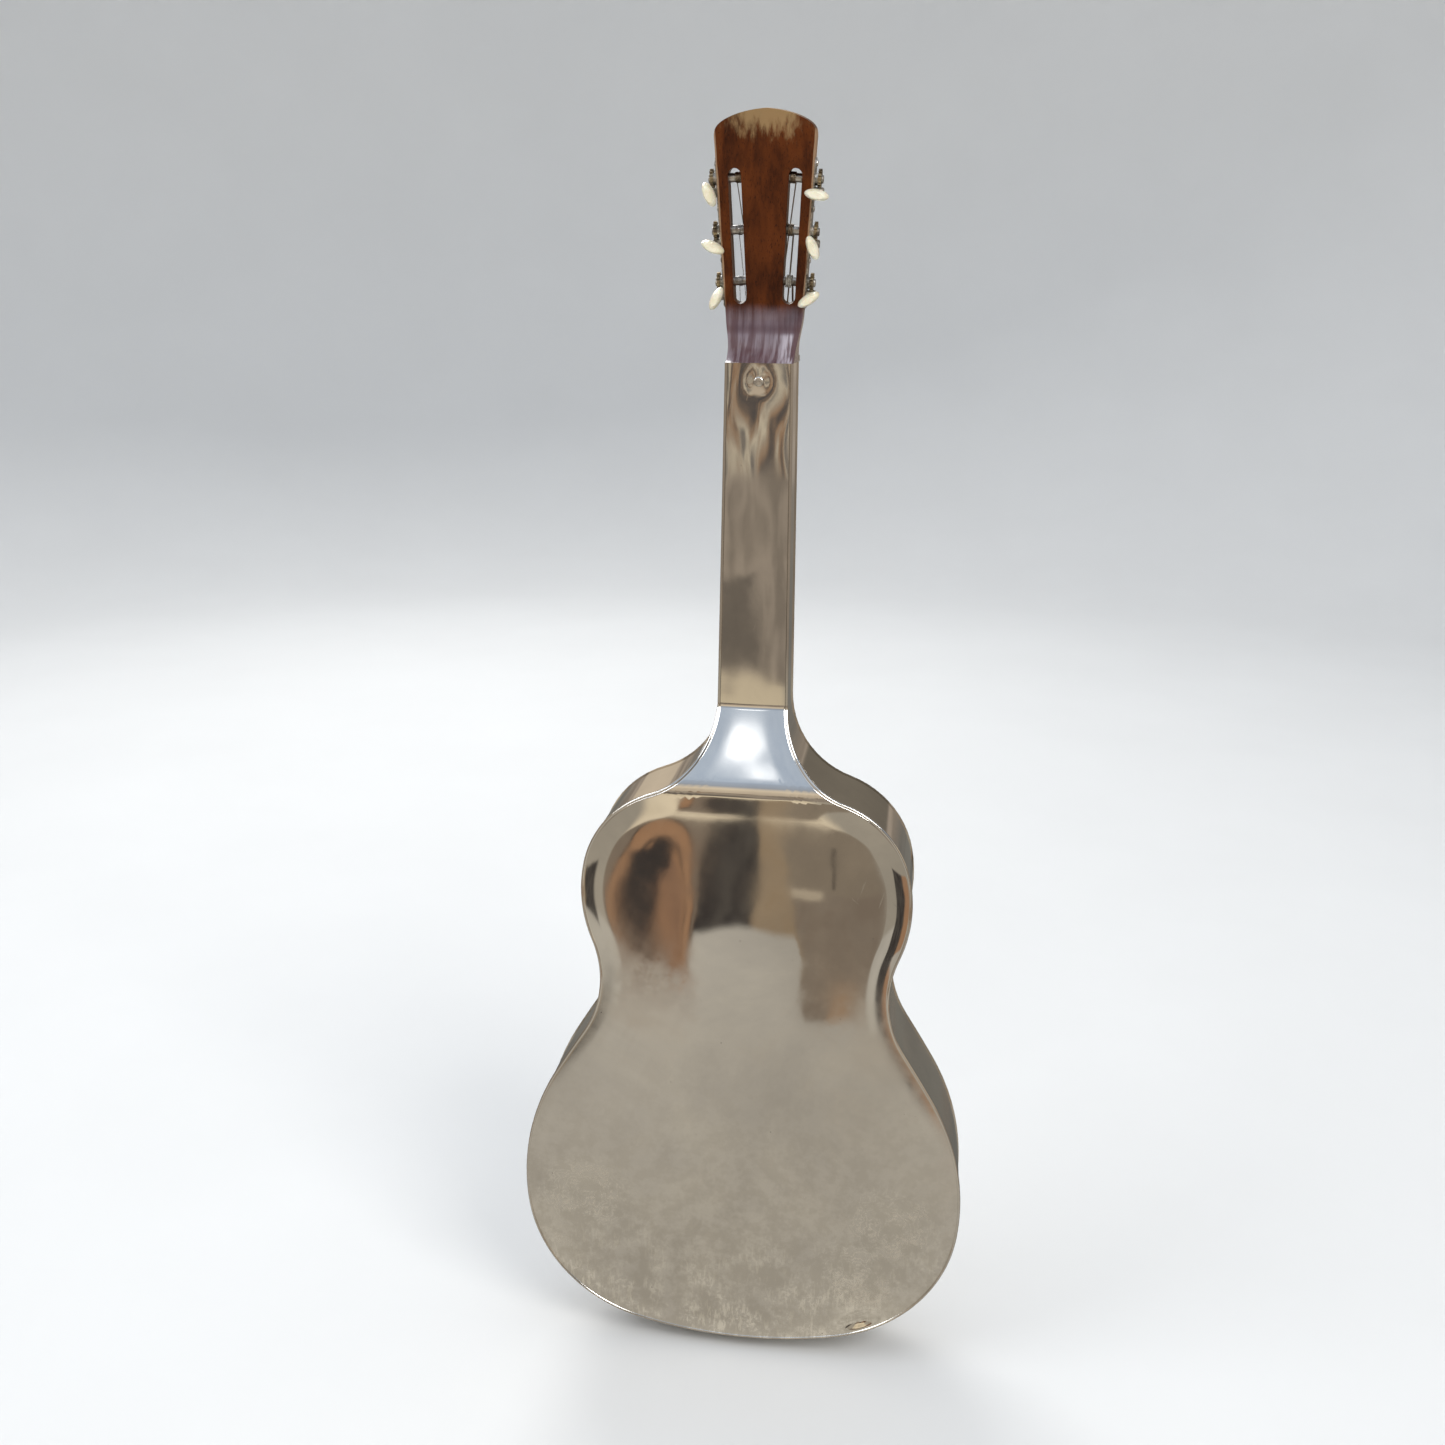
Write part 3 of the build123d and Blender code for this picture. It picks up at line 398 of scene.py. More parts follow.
def headstock_finish():
    """Red-brown lacquered mahogany, worn in upright streaks below the crown and along the edges,
    with a glossier coat in the hollow where the head meets the neck. Painted into the colour there
    are a purple-grey sheen, a darker reflection band and pale highlight streaks on the bass side."""
    along = (-HEAD_TILT, 0, 0)
    dark, light = (0.034, 0.0075, 0.0015), (0.100, 0.0240, 0.0035)
    made, tone = wood("mahogany", dark, light, (0.012, 0.003, 0.002), 0.34, 0.0, along)
    base = tuple(HEAD_ORIGIN)
    rise = made.axis("Z", turn=along, centre=base)
    side = made.axis("X")
    across = made.math("ABSOLUTE", side)
    edge = made.math("MULTIPLY_ADD", rise, HEAD_SPREAD, HEAD_HALF)
    to_edge = made.math("SUBTRACT", edge, across)
    arch = made.math("MULTIPLY_ADD", made.math("POWER", across, 2.0), CROWN_FALL, CROWN_TOP)
    below = made.math("SUBTRACT", arch, rise)
    streaks = made.clouds(330, detail=5.0, rough=0.65, stretch=(1, 1, 0.07), turn=along)
    broad = made.clouds(70, detail=4.0, rough=0.6, stretch=(1, 1, 0.30), turn=along)
    grit = made.clouds(700, detail=3.0)

    middle = made.fade(across, 0.031, 0.008, 0.35, 1.0)
    worn = made.math("MULTIPLY", made.fade(below, 0.046, 0.002), middle)
    worn = made.fade(made.raised(worn, (streaks, 1.05), (broad, 0.55)), 1.08, 1.56)
    rim = made.raised(made.fade(below, 6.5 * MM, 0.0), (broad, 0.7))
    rim = made.math("MULTIPLY", made.fade(rim, 0.55, 0.95), made.fade(rise, 0.130, 0.145))
    chipped = made.raised(made.math("MULTIPLY", broad, 0.9), (made.fade(to_edge, 1.5 * MM, 0.0), 0.5))
    chipped = made.math("MULTIPLY", made.fade(chipped, 0.70, 0.92), made.fade(rise, 0.020, 0.045))
    tone = made.painted(
        tone,
        (worn, 0.85, (0.285, 0.180, 0.080)),
        (rim, 0.75, (0.255, 0.135, 0.080)),
        (chipped, 0.80, (0.34, 0.215, 0.125)),
    )

    # Painted sheen: the coat is glossier in the hollow, and the colour there is a milky purple-grey that
    # stands in for the lacquer's reflection.
    coat_and_painted_sheen = made.fade(made.raised(rise, (broad, 6 * MM)), *HOLLOW)
    sheen_streaks = made.clouds(300, detail=4.0, stretch=(1, 0.08, 0.08), turn=along)
    # Painted reflection: a darker band across the hollow, laid over the painted sheen.
    band = made.between(rise, 0.0130, 0.0180, 0.0025)
    painted_sheen = made.mix(made.fade(sheen_streaks, 0.34, 0.66), (0.105, 0.062, 0.072), (0.180, 0.135, 0.155))
    painted_sheen = made.painted(painted_sheen, (band, 0.45, (0.070, 0.030, 0.034)))
    # Painted highlight: pale streaks near the bass side of the hollow, laid over the painted sheen.
    near_bass = made.fade(side, -0.006, -0.021)
    painted_highlight = made.math("MULTIPLY", made.fade(sheen_streaks, 0.40, 0.62), made.fade(rise, 0.0135, 0.0095))
    painted_highlight = made.math("MULTIPLY", painted_highlight, made.math("MULTIPLY_ADD", near_bass, 0.75, 0.12))
    painted_sheen = made.mix(painted_highlight, painted_sheen, (0.58, 0.54, 0.60))
    made.set("Base Color", made.painted(tone, (coat_and_painted_sheen, 0.85, painted_sheen)))
    made.set("Coat Weight", made.raised(0.02, (coat_and_painted_sheen, 0.6)))
    bare = made.math("MAXIMUM", worn, chipped)
    made.set("Roughness", made.raised(0.30, (bare, 0.30), (grit, 0.10), (coat_and_painted_sheen, -0.12)))
    made.bump(worn, 0.25, -0.05 * MM)
    return made.material


def ivoroid(name):
    """Cream celluloid with fine parallel grain, yellowed in patches."""
    made = Finish(name, Coat_Weight=0.5, Coat_Roughness=0.08, Subsurface_Weight=0.12)
    made.shader.inputs["Subsurface Scale"].default_value = 1.0 * MM
    grain = made.waves(520, axis="X", warp=2.2)
    patches = made.clouds(120, detail=4.0)
    tone = made.mix(made.fade(patches, 0.3, 0.7), (0.78, 0.71, 0.50), (0.90, 0.86, 0.70))
    made.set("Base Color", made.painted(tone, (grain, 0.22, (0.70, 0.60, 0.38))))
    made.set("Roughness", made.raised(0.15, (patches, 0.25)))
    made.bump(made.clouds(500, detail=3.0), 0.08, 0.05 * MM)
    return made.material


def pearl(name):
    """Shell inlay with drifting light and shade."""
    made = Finish(name, Coat_Weight=0.8, Coat_Roughness=0.05)
    drift = made.clouds(420, detail=3.0, warp=2.5)
    tone, _ = made.ramp(
        drift,
        (0.30, (0.62, 0.68, 0.66)),
        (0.45, (0.88, 0.86, 0.84)),
        (0.58, (0.80, 0.72, 0.74)),
        (0.72, (0.92, 0.93, 0.88)),
    )
    made.set("Base Color", tone)
    made.set("Roughness", made.raised(0.08, (drift, 0.3)))
    made.bump(drift, 0.05, 0.05 * MM)
    return made.material


def wound(name, colour, shade, lay):
    """Round-wound string: fine turns of wrap wire along its length."""
    made = Finish(name, Metallic=1.0)
    turns = made.waves(lay, axis="Z")
    patches = made.clouds(90, detail=4.0)
    tone = made.mix(made.fade(patches, 0.3, 0.7), shade, colour)
    made.set("Base Color", made.painted(tone, (turns, 0.45, shade)))
    made.set("Roughness", made.raised(0.2, (patches, 0.3)))
    made.bump(turns, 0.6, 0.08 * MM)
    return made.material


def silk(name):
    """Pale silk wound round a string's end, frayed and dusty."""
    made = Finish(name, Roughness=0.8, Sheen_Weight=0.4)
    turns = made.waves(900, axis="X", warp=3.0)
    dust = made.clouds(500, detail=4.0)
    tone = made.mix(made.fade(dust, 0.3, 0.7), (0.30, 0.25, 0.18), (0.66, 0.60, 0.48))
    made.set("Base Color", made.painted(tone, (turns, 0.4, grey(0.16))))
    made.bump(turns, 0.5, 0.1 * MM)
    return made.material


NICKEL_LIGHT = (0.77, 0.745, 0.695)
NICKEL_DARK = (0.625, 0.605, 0.575)
body_plate = plated("body_plate", NICKEL_LIGHT, NICKEL_DARK, 0.018, 0.13, 0.05)
trim_plate = plated("trim_plate", (0.76, 0.74, 0.70), (0.66, 0.63, 0.58), 0.04, 0.12, 0.04)
dull_sheet = worn_steel("dull_sheet", (0.42, 0.41, 0.39), (0.20, 0.18, 0.16), 0.35)
tuner_steel = worn_steel("tuner_steel", (0.62, 0.60, 0.56), (0.20, 0.18, 0.155), 0.20)
screw_steel = worn_steel("screw_steel", (0.82, 0.80, 0.76), (0.42, 0.39, 0.35), 0.12)
nickel_silver = worn_steel("nickel_silver", (0.72, 0.70, 0.65), (0.48, 0.45, 0.40), 0.12)
gear_brass = worn_steel("gear_brass", (0.42, 0.34, 0.22), (0.12, 0.09, 0.06), 0.26)
cast_metal = cast("cast_metal")
mahogany = headstock_finish()
rosewood, _ = wood(
    "rosewood", (0.030, 0.013, 0.009), (0.105, 0.050, 0.030), (0.008, 0.004, 0.003), 0.30, 0.10
)
maple, _ = wood("maple", (0.52, 0.37, 0.21), (0.68, 0.52, 0.33), (0.40, 0.27, 0.14), 0.40, 0.0)
inner_wood, _ = wood(
    "inner_wood", (0.36, 0.23, 0.12), (0.52, 0.37, 0.22), (0.20, 0.12, 0.06), 0.60, 0.0
)
button_ivoroid = ivoroid("button_ivoroid")
marker_pearl = pearl("marker_pearl")
bronze_wound = wound("bronze_wound", (0.62, 0.53, 0.40), (0.26, 0.20, 0.14), 640)
plain_wire = worn_steel("plain_wire", (0.74, 0.74, 0.73), (0.46, 0.45, 0.43), 0.14)
string_silk = silk("string_silk")

SLOT_FINISH = {
    "plated_body": body_plate,
    "plated_trim": trim_plate,
    "inner_sheet": dull_sheet,
    "cast_aluminium": cast_metal,
    "maple": maple.material,
    "inner_wood": inner_wood.material,
    "rosewood": rosewood.material,
    "fret_wire": nickel_silver,
    "pearl": marker_pearl,
    "nut_steel": nickel_silver,
    "mahogany": mahogany,
    "screw_steel": screw_steel,
    "tuner_metal": tuner_steel,
    "gear_brass": gear_brass,
    "ivoroid": button_ivoroid,
    "string_wire": bronze_wound,
    "plain_string": plain_wire,
}
node_slot = {part["node"]: part["material_slot"] for part in frame["record"]["subparts"]}


def paint(obj, material):
    """Gives the whole object one material."""
    obj.data.materials.clear()
    obj.data.materials.append(material)


for node_name, node in nodes.items():
    slot = node_slot[node_name]
    if slot == "spun_aluminium":
        low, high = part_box(node_name)
        paint(node, spun(f"spun_{node_name}", tuple((low + high) / 2)))
    else:
        paint(node, SLOT_FINISH[slot])


# ---------------------------------------------------------------- mesh helpers
def make_piece(name, mesh, material, body="guitar"):
    """Links a mesh as a named piece that rides on a body."""
    piece = bpy.data.objects.new(name, mesh)
    scene.collection.objects.link(piece)
    paint(piece, material)
    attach(piece, body)
    return piece


def smooth_by_angle(mesh, degrees_sharp):
    """Smooth shading with edges sharper than this angle left crisp."""
    mesh.polygons.foreach_set("use_smooth", [True] * len(mesh.polygons))
    mesh.set_sharp_from_angle(angle=radians(degrees_sharp))


WELD_GAP = 0.002 * MM
FLAT_ANGLE = radians(0.6)
SHARP_ANGLE = radians(30.0)


def softened(node_name, piece_name, width, segments=2):
    """Copy of a CAD node with its edges rounded over, shown in the node's place."""
    source = nodes[node_name]
    mesh = source.data.copy()
    shell = bmesh.new()
    shell.from_mesh(mesh)
    bmesh.ops.remove_doubles(shell, verts=shell.verts, dist=WELD_GAP)
    bmesh.ops.dissolve_limit(
        shell,
        angle_limit=FLAT_ANGLE,
        verts=shell.verts,
        edges=shell.edges,
        use_dissolve_boundaries=False,
    )
    shell.to_mesh(mesh)
    shell.free()
    if "custom_normal" in mesh.attributes:
        mesh.attributes.remove(mesh.attributes["custom_normal"])
    blank = bpy.data.objects.new(piece_name, mesh)
    scene.collection.objects.link(blank)
    round_over = blank.modifiers.new("edges", "BEVEL")
    round_over.width = width
    round_over.segments = segments
    round_over.limit_method = "ANGLE"
    round_over.angle_limit = SHARP_ANGLE
    round_over.use_clamp_overlap = True
    bpy.context.view_layer.update()
    graph = bpy.context.evaluated_depsgraph_get()
    rounded = bpy.data.meshes.new_from_object(blank.evaluated_get(graph))
    bpy.data.objects.remove(blank)
    bpy.data.meshes.remove(mesh)
    smooth_by_angle(rounded, 40)
    slot = node_slot[node_name]
    piece = make_piece(piece_name, rounded, SLOT_FINISH[slot], source["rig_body"])
    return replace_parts(piece, node_name)


def tube(points, radius, sides=10):
    """Mesh of a round wire through points, closed at both ends."""
    shell = bmesh.new()
    rings = []
    across = None
    for index, point in enumerate(points):
        ahead = points[min(index + 1, len(points) - 1)]
        behind = points[max(index - 1, 0)]
        along = (ahead - behind).normalized()
        if across is None:
            across = along.orthogonal().normalized()
        across = (across - along * across.dot(along)).normalized()
        other = along.cross(across)
        ring = []
        for side in range(sides):
            angle = 2 * pi * side / sides
            ring.append(shell.verts.new(point + radius * (cos(angle) * across + sin(angle) * other)))
        rings.append(ring)
    for ring, following in zip(rings, rings[1:]):
        for side in range(sides):
            after = (side + 1) % sides
            shell.faces.new((ring[side], ring[after], following[after], following[side]))
    shell.faces.new(reversed(rings[0]))
    shell.faces.new(rings[-1])
    mesh = bpy.data.meshes.new("wire")
    shell.to_mesh(mesh)
    shell.free()
    smooth_by_angle(mesh, 50)
    return mesh


# ---------------------------------------------------------------- back sheet with its rolled rim
STATION_GAP = 4 * MM
RIM_REACH = 20 * MM                    # how far in from the rim the sheet is crowned
CROWN_DROP = 0.9 * MM
BACK_WALL = 1.1 * MM
# The rolled rim in mm: distance in from the outline and drop below the back.
SKIRT = ((0.75, 1.1), (0.75, 3.0), (0.10, 3.05), (0.0, 2.9), (0.0, 1.5))
BEAD = (
    (0.06, 0.95),
    (0.25, 0.50),
    (0.60, 0.18),
    (1.10, 0.05),
    (1.60, 0.18),
    (1.95, 0.45),
    (2.15, 0.74),
)
CROWN_STEPS = (2.45, 3.2, 4.2, 5.5, 7.0, 9.0, 11.0, 13.5, 16.0, 18.0, 20.0)
INNER_COLUMNS = 26
SAME_POINT = 1e-7
SAME_HEIGHT = 1e-6


def outline_stations():
    """Points of the half outline from the tail to the nut, each with its inward direction."""
    stations = []
    x, z, heading = 0.0, 0.0, 0.0
    for radius, turn in OUTLINE_ARCS:
        swing = radians(turn)
        side = 1 if swing > 0 else -1
        middle = (x - side * radius * sin(heading), z + side * radius * cos(heading))
        count = max(2, ceil(radius * abs(swing) / STATION_GAP))
        for step in range(count):
            at = heading + swing * step / count
            spot = (middle[0] + side * radius * sin(at), middle[1] - side * radius * cos(at))
            stations.append((*spot, at))
        heading += swing
        x = middle[0] + side * radius * sin(heading)
        z = middle[1] - side * radius * cos(heading)
    run = (NUT_EDGE - z) / sin(heading)
    count = ceil(run / STATION_GAP)
    for step in range(count + 1):
        along = run * step / count
        stations.append((x + along * cos(heading), z + along * sin(heading), heading))
    return stations


def bend(height, corner, half_run):
    """Rise past a corner, rounded over half_run each side of it."""
    past = height - corner
    if past <= -half_run:
        return 0.0
    if past >= half_run:
        return past
    return (past + half_run) ** 2 / (4 * half_run)


LOW_BEND = 6.0 * MM
HIGH_BEND = 1.6 * MM
RAMP_SLOPE = (BACK - NECK_BACK) / (RAMP_HIGH - RAMP_LOW)


def back_level(height):
    """Y of the back sheet at this height: body, ramp and neck."""
    fall = bend(height, RAMP_LOW, LOW_BEND) - bend(height, RAMP_HIGH, HIGH_BEND)
    return BACK - RAMP_SLOPE * fall


def smooth_step(value, start, end):
    """0 to 1 as value goes from start to end."""
    share = min(1.0, max(0.0, (value - start) / (end - start)))
    return share * share * (3 - 2 * share)


SCREW_HEIGHT = sum(corner.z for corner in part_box("neck_screw")) / 2
DISH_REACH = 12 * MM                   # the sheet is drawn in around the neck screw
DISH_DEPTH = 0.30                      # mm
# Old knocks in the back: place, lean, half lengths, and the depth in mm.
KNOCKS = (
    ((-0.1035, 0.0290), radians(-25.5), (0.023, 0.0100), 2.00),
    ((0.083, 0.296), radians(60.0), (0.016, 0.010), 0.10),
    ((-0.070, 0.262), radians(-70.0), (0.022, 0.006), 0.10),
)


def uneven(x, z, width, length, layer):
    """Smooth random relief from -1 to 1, with lumps of this width and length."""
    return noise.noise(Vector((x / width, layer, z / length)))


def dents(x, z):
    """Shallow unevenness of the hand-worked sheet, with its dish and knocks. Amounts are in mm."""
    broad = uneven(x, z, 0.075, 0.110, 3.1)
    small = uneven(x, z, 0.028, 0.045, 7.7)
    wavy = uneven(x, z, 0.017, 0.046, 1.9)
    on_body = 1.0 - smooth_step(z, RAMP_LOW - 0.02, RAMP_LOW)
    on_neck = smooth_step(z, RAMP_HIGH, RAMP_HIGH + 0.02)
    upper = smooth_step(z, 0.27, 0.36)
    body = on_body * (0.10 + 0.12 * upper) * (broad + 1.0) + on_body * 0.025 * upper * small
    neck = on_neck * (0.09 * broad + 0.05 * small)
    neck += smooth_step(z, 0.66, 0.72) * 0.085 * wavy
    dish = max(0.0, 1.0 - ((x / DISH_REACH) ** 2 + ((z - SCREW_HEIGHT) / DISH_REACH) ** 2))
    knock = 0.0
    for (spot_x, spot_z), lean, (long_half, short_half), deep in KNOCKS:
        dx, dz = x - spot_x, z - spot_z
        along = (dx * cos(lean) + dz * sin(lean)) / long_half
        beside = (dz * cos(lean) - dx * sin(lean)) / short_half
        knock += deep * max(0.0, 1.0 - along**2 - beside**2) ** 2
    return (body + neck + DISH_DEPTH * dish**2 + knock + 0.02 * (small + 1.0)) * MM


def crown(inset, height):
    """How far the sheet drops towards its rim."""
    strength = 1.0 - 0.75 * smooth_step(height, RAMP_LOW - 0.03, RAMP_LOW)
    return CROWN_DROP * strength * max(0.0, 1 - inset / RIM_REACH) ** 2


def back_sheet_mesh():
    """One closed sheet over the body, the ramp and the neck, built flat and then lifted."""
    stations = outline_stations()
    rim = [(inset * MM, drop * MM) for inset, drop in SKIRT + BEAD]
    rim += [(inset * MM, None) for inset in CROWN_STEPS]
    shell = bmesh.new()
    rows = []
    for x, z, heading in stations:
        right = []
        for inset, drop in rim:
            px, pz = x - inset * sin(heading), z + inset * cos(heading)
            if abs(z - NUT_EDGE) < SAME_HEIGHT:
                pz = NUT_EDGE
            if drop is None:
                drop = crown(inset, pz)
            right.append((max(px, 0.0), drop, pz))
        inner_x, _, inner_z = right[-1]
        inside = [
            (inner_x * (1 - 2 * column / INNER_COLUMNS), 0.0, inner_z)
            for column in range(1, INNER_COLUMNS)
        ]
        left = [(-px, drop, pz) for px, drop, pz in reversed(right)]
        top = right + inside + left
        under = [(px, BACK_WALL, pz) for px, drop, pz in top[len(SKIRT) : -len(SKIRT)]]
        loop = top + list(reversed(under))
        rows.append([shell.verts.new((px, -drop, pz)) for px, drop, pz in loop])
    size = len(rows[0])
    for row, following in zip(rows, rows[1:]):
        for index in range(size):
            after = (index + 1) % size
            shell.faces.new((row[index], following[index], following[after], row[after]))
    shell.faces.new(rows[-1])
    bmesh.ops.remove_doubles(shell, verts=shell.verts, dist=SAME_POINT)
    bmesh.ops.dissolve_degenerate(shell, edges=shell.edges, dist=SAME_POINT)
    cuts = [RAMP_LOW + LOW_BEND * share for share in (-1, -0.5, 0, 0.5, 1)]
    cuts += [RAMP_HIGH + HIGH_BEND * share for share in (-1, -0.4, 0.4, 1)]
    for cut in cuts:
        bmesh.ops.bisect_plane(
            shell,
            geom=shell.verts[:] + shell.edges[:] + shell.faces[:],
            plane_co=(0, 0, cut),
            plane_no=(0, 0, 1),
            dist=SAME_POINT,
        )
    for vert in shell.verts:
        x, drop, z = vert.co
        vert.co.y = back_level(z) + drop - dents(x, z)
    bmesh.ops.recalc_face_normals(shell, faces=shell.faces)
    mesh = bpy.data.meshes.new("back_sheet")
    shell.to_mesh(mesh)
    shell.free()
    smooth_by_angle(mesh, 60)
    return mesh


back_sheet = make_piece("back_sheet", back_sheet_mesh(), body_plate)
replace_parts(back_sheet, "body_back")

# ---------------------------------------------------------------- parts with rounded edges
softened("headstock", "headstock_wood", 0.8 * MM, segments=3)
softened("fingerboard", "fingerboard_wood", 0.35 * MM)
softened("nut", "nut_bar", 0.25 * MM)
softened("bridge", "bridge_tee", 0.4 * MM)

# ---------------------------------------------------------------- string turns on the rollers
STRING_RADII = {6: 0.71, 5: 0.58, 4: 0.46, 3: 0.33, 2: 0.23, 1: 0.20}
ROLLER_TURNS = {6: 3.0, 5: 3.3, 4: 4.2, 3: 5.5, 2: 6.5, 1: 7.0}
TURN_STEPS = 36
TURN_PITCH = 2.08                      # of the string's radius, from one turn to the next
ROLLER_GAP = 0.03 * MM
LEAD_IN = -0.09                        # part of a turn before the string's end
LOOSENESS = 0.04
CUT_END_STEPS = 4
CUT_END_STEP = 0.9 * MM
joints = {joint["name"]: joint for joint in frame["joints"]}


def string_end(number):
    """Middle of the string's end face on its roller."""
    mesh = nodes[f"string_{number}"].data
    reach = max(vert.co.dot(HEAD_UP) for vert in mesh.vertices)
    near = reach - STRING_RADII[number] * MM * 1.2
    tip = [vert.co for vert in mesh.vertices if vert.co.dot(HEAD_UP) > near]
    return sum(tip, Vector()) / len(tip)


def roller_turns(number):
    """Wire wound on a roller from where the string meets it, with its cut end standing out."""
    joint = joints[f"post_turn_{number}"]
    axle = Vector(joint["axis"])
    base = Vector(joint["pos_m"])
    radius = STRING_RADII[number] * MM
    start = (string_end(number) - base).dot(axle)
    inward = -TURN_PITCH * radius
    lift = ROLLER_RADIUS + radius + ROLLER_GAP
    front = (-HEAD_BACK - axle * (-HEAD_BACK).dot(axle)).normalized()
    up = front.cross(axle).normalized()
    if up.dot(HEAD_UP) < 0:
        up = -up
    points = []
    count = ceil((ROLLER_TURNS[number] - LEAD_IN) * TURN_STEPS)
    for step in range(count + 1):
        turn = LEAD_IN + step / TURN_STEPS
        angle = 2 * pi * turn
        loose = 1.0 + LOOSENESS * noise.noise(Vector((turn * 1.7, number, 0.5)))
        out = front * cos(angle) + up * sin(angle)
        along = start + inward * max(0.0, turn)
        points.append(base + axle * along + out * lift * max(1.0, loose))
    last_out = (points[-1] - base - axle * (points[-1] - base).dot(axle)).normalized()
    heading = (points[-1] - points[-2]).normalized()
    for step in range(1, CUT_END_STEPS + 1):
        share = step / CUT_END_STEPS
        points.append(points[-1] + (heading * (1 - share) + last_out * share) * CUT_END_STEP)
    return tube(points, radius * 0.98)


for number in STRING_RADII:
    wrap_finish = string_silk if number == 6 else (plain_wire if number < 3 else bronze_wound)
    wrap_mesh = roller_turns(number)
    make_piece(f"roller_turns_{number}", wrap_mesh, wrap_finish, f"string_post_{number}")

# ---------------------------------------------------------------- floor and far wall
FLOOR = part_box("strap_pin")[0].z
COVE_RADIUS = 5.0
COVE_BEND = 1.6
COVE_HEIGHT = 4.2
COVE_STEPS = 12
COVE_SIDES = 96


def cove_mesh():
    """Round floor that turns up into a wall far away."""
    flat = COVE_RADIUS - COVE_BEND
    profile = [(0.02, 0.0), (1.0, 0.0), (flat, 0.0)]
    for step in range(1, COVE_STEPS + 1):
        angle = pi / 2 * step / COVE_STEPS
        profile.append((flat + COVE_BEND * sin(angle), COVE_BEND - COVE_BEND * cos(angle)))
    profile.append((COVE_RADIUS, COVE_HEIGHT))
    shell = bmesh.new()
    rings = []
    for reach, rise in profile:
        ring = []
        for side in range(COVE_SIDES):
            angle = 2 * pi * side / COVE_SIDES
            ring.append(shell.verts.new((reach * cos(angle), reach * sin(angle), FLOOR + rise)))
        rings.append(ring)
    shell.faces.new(rings[0])
    for ring, following in zip(rings, rings[1:]):
        for side in range(COVE_SIDES):
            after = (side + 1) % COVE_SIDES
            shell.faces.new((ring[side], following[side], following[after], ring[after]))
    bmesh.ops.recalc_face_normals(shell, faces=shell.faces)
    mesh = bpy.data.meshes.new("cove")
    shell.to_mesh(mesh)
    shell.free()
    mesh.polygons.foreach_set("use_smooth", [True] * len(mesh.polygons))
    return mesh


floor_finish = Finish("floor_finish", Roughness=0.9)
floor_mottle = floor_finish.clouds(3, detail=3.0)
floor_tone = floor_finish.mix(floor_mottle, (0.70, 0.70, 0.69), (0.74, 0.74, 0.73))
floor_finish.set("Base Color", floor_tone)
floor = bpy.data.objects.new("floor", cove_mesh())
scene.collection.objects.link(floor)
paint(floor, floor_finish.material)
floor.visible_glossy = False

# ---------------------------------------------------------------- studio surroundings, seen in the metal
DEGREES = 180 / pi                     # in one radian
BEIGE = (0.42, 0.375, 0.305)
TAUPE = (0.26, 0.205, 0.155)
TAN = (0.36, 0.265, 0.170)
ORANGE = (0.42, 0.235, 0.130)
SHADE = (0.055, 0.047, 0.043)
ROUND_START = -12.0                    # the hanging shapes repeat every 48 degrees from here
ROUND_REPEAT = 48.0
HANG_DEPTH = 2.9                       # degrees that a shape reaches down over the floor
# Lamps: direction, half widths in degrees, and share of the full glow.
LAMPS = (((8.9, 40.6), (1.15, 0.70), 1.0), ((7.4, 39.5), (0.8, 0.28), 0.8))
LAMP_COLOUR = (2.3, 2.4, 2.55)


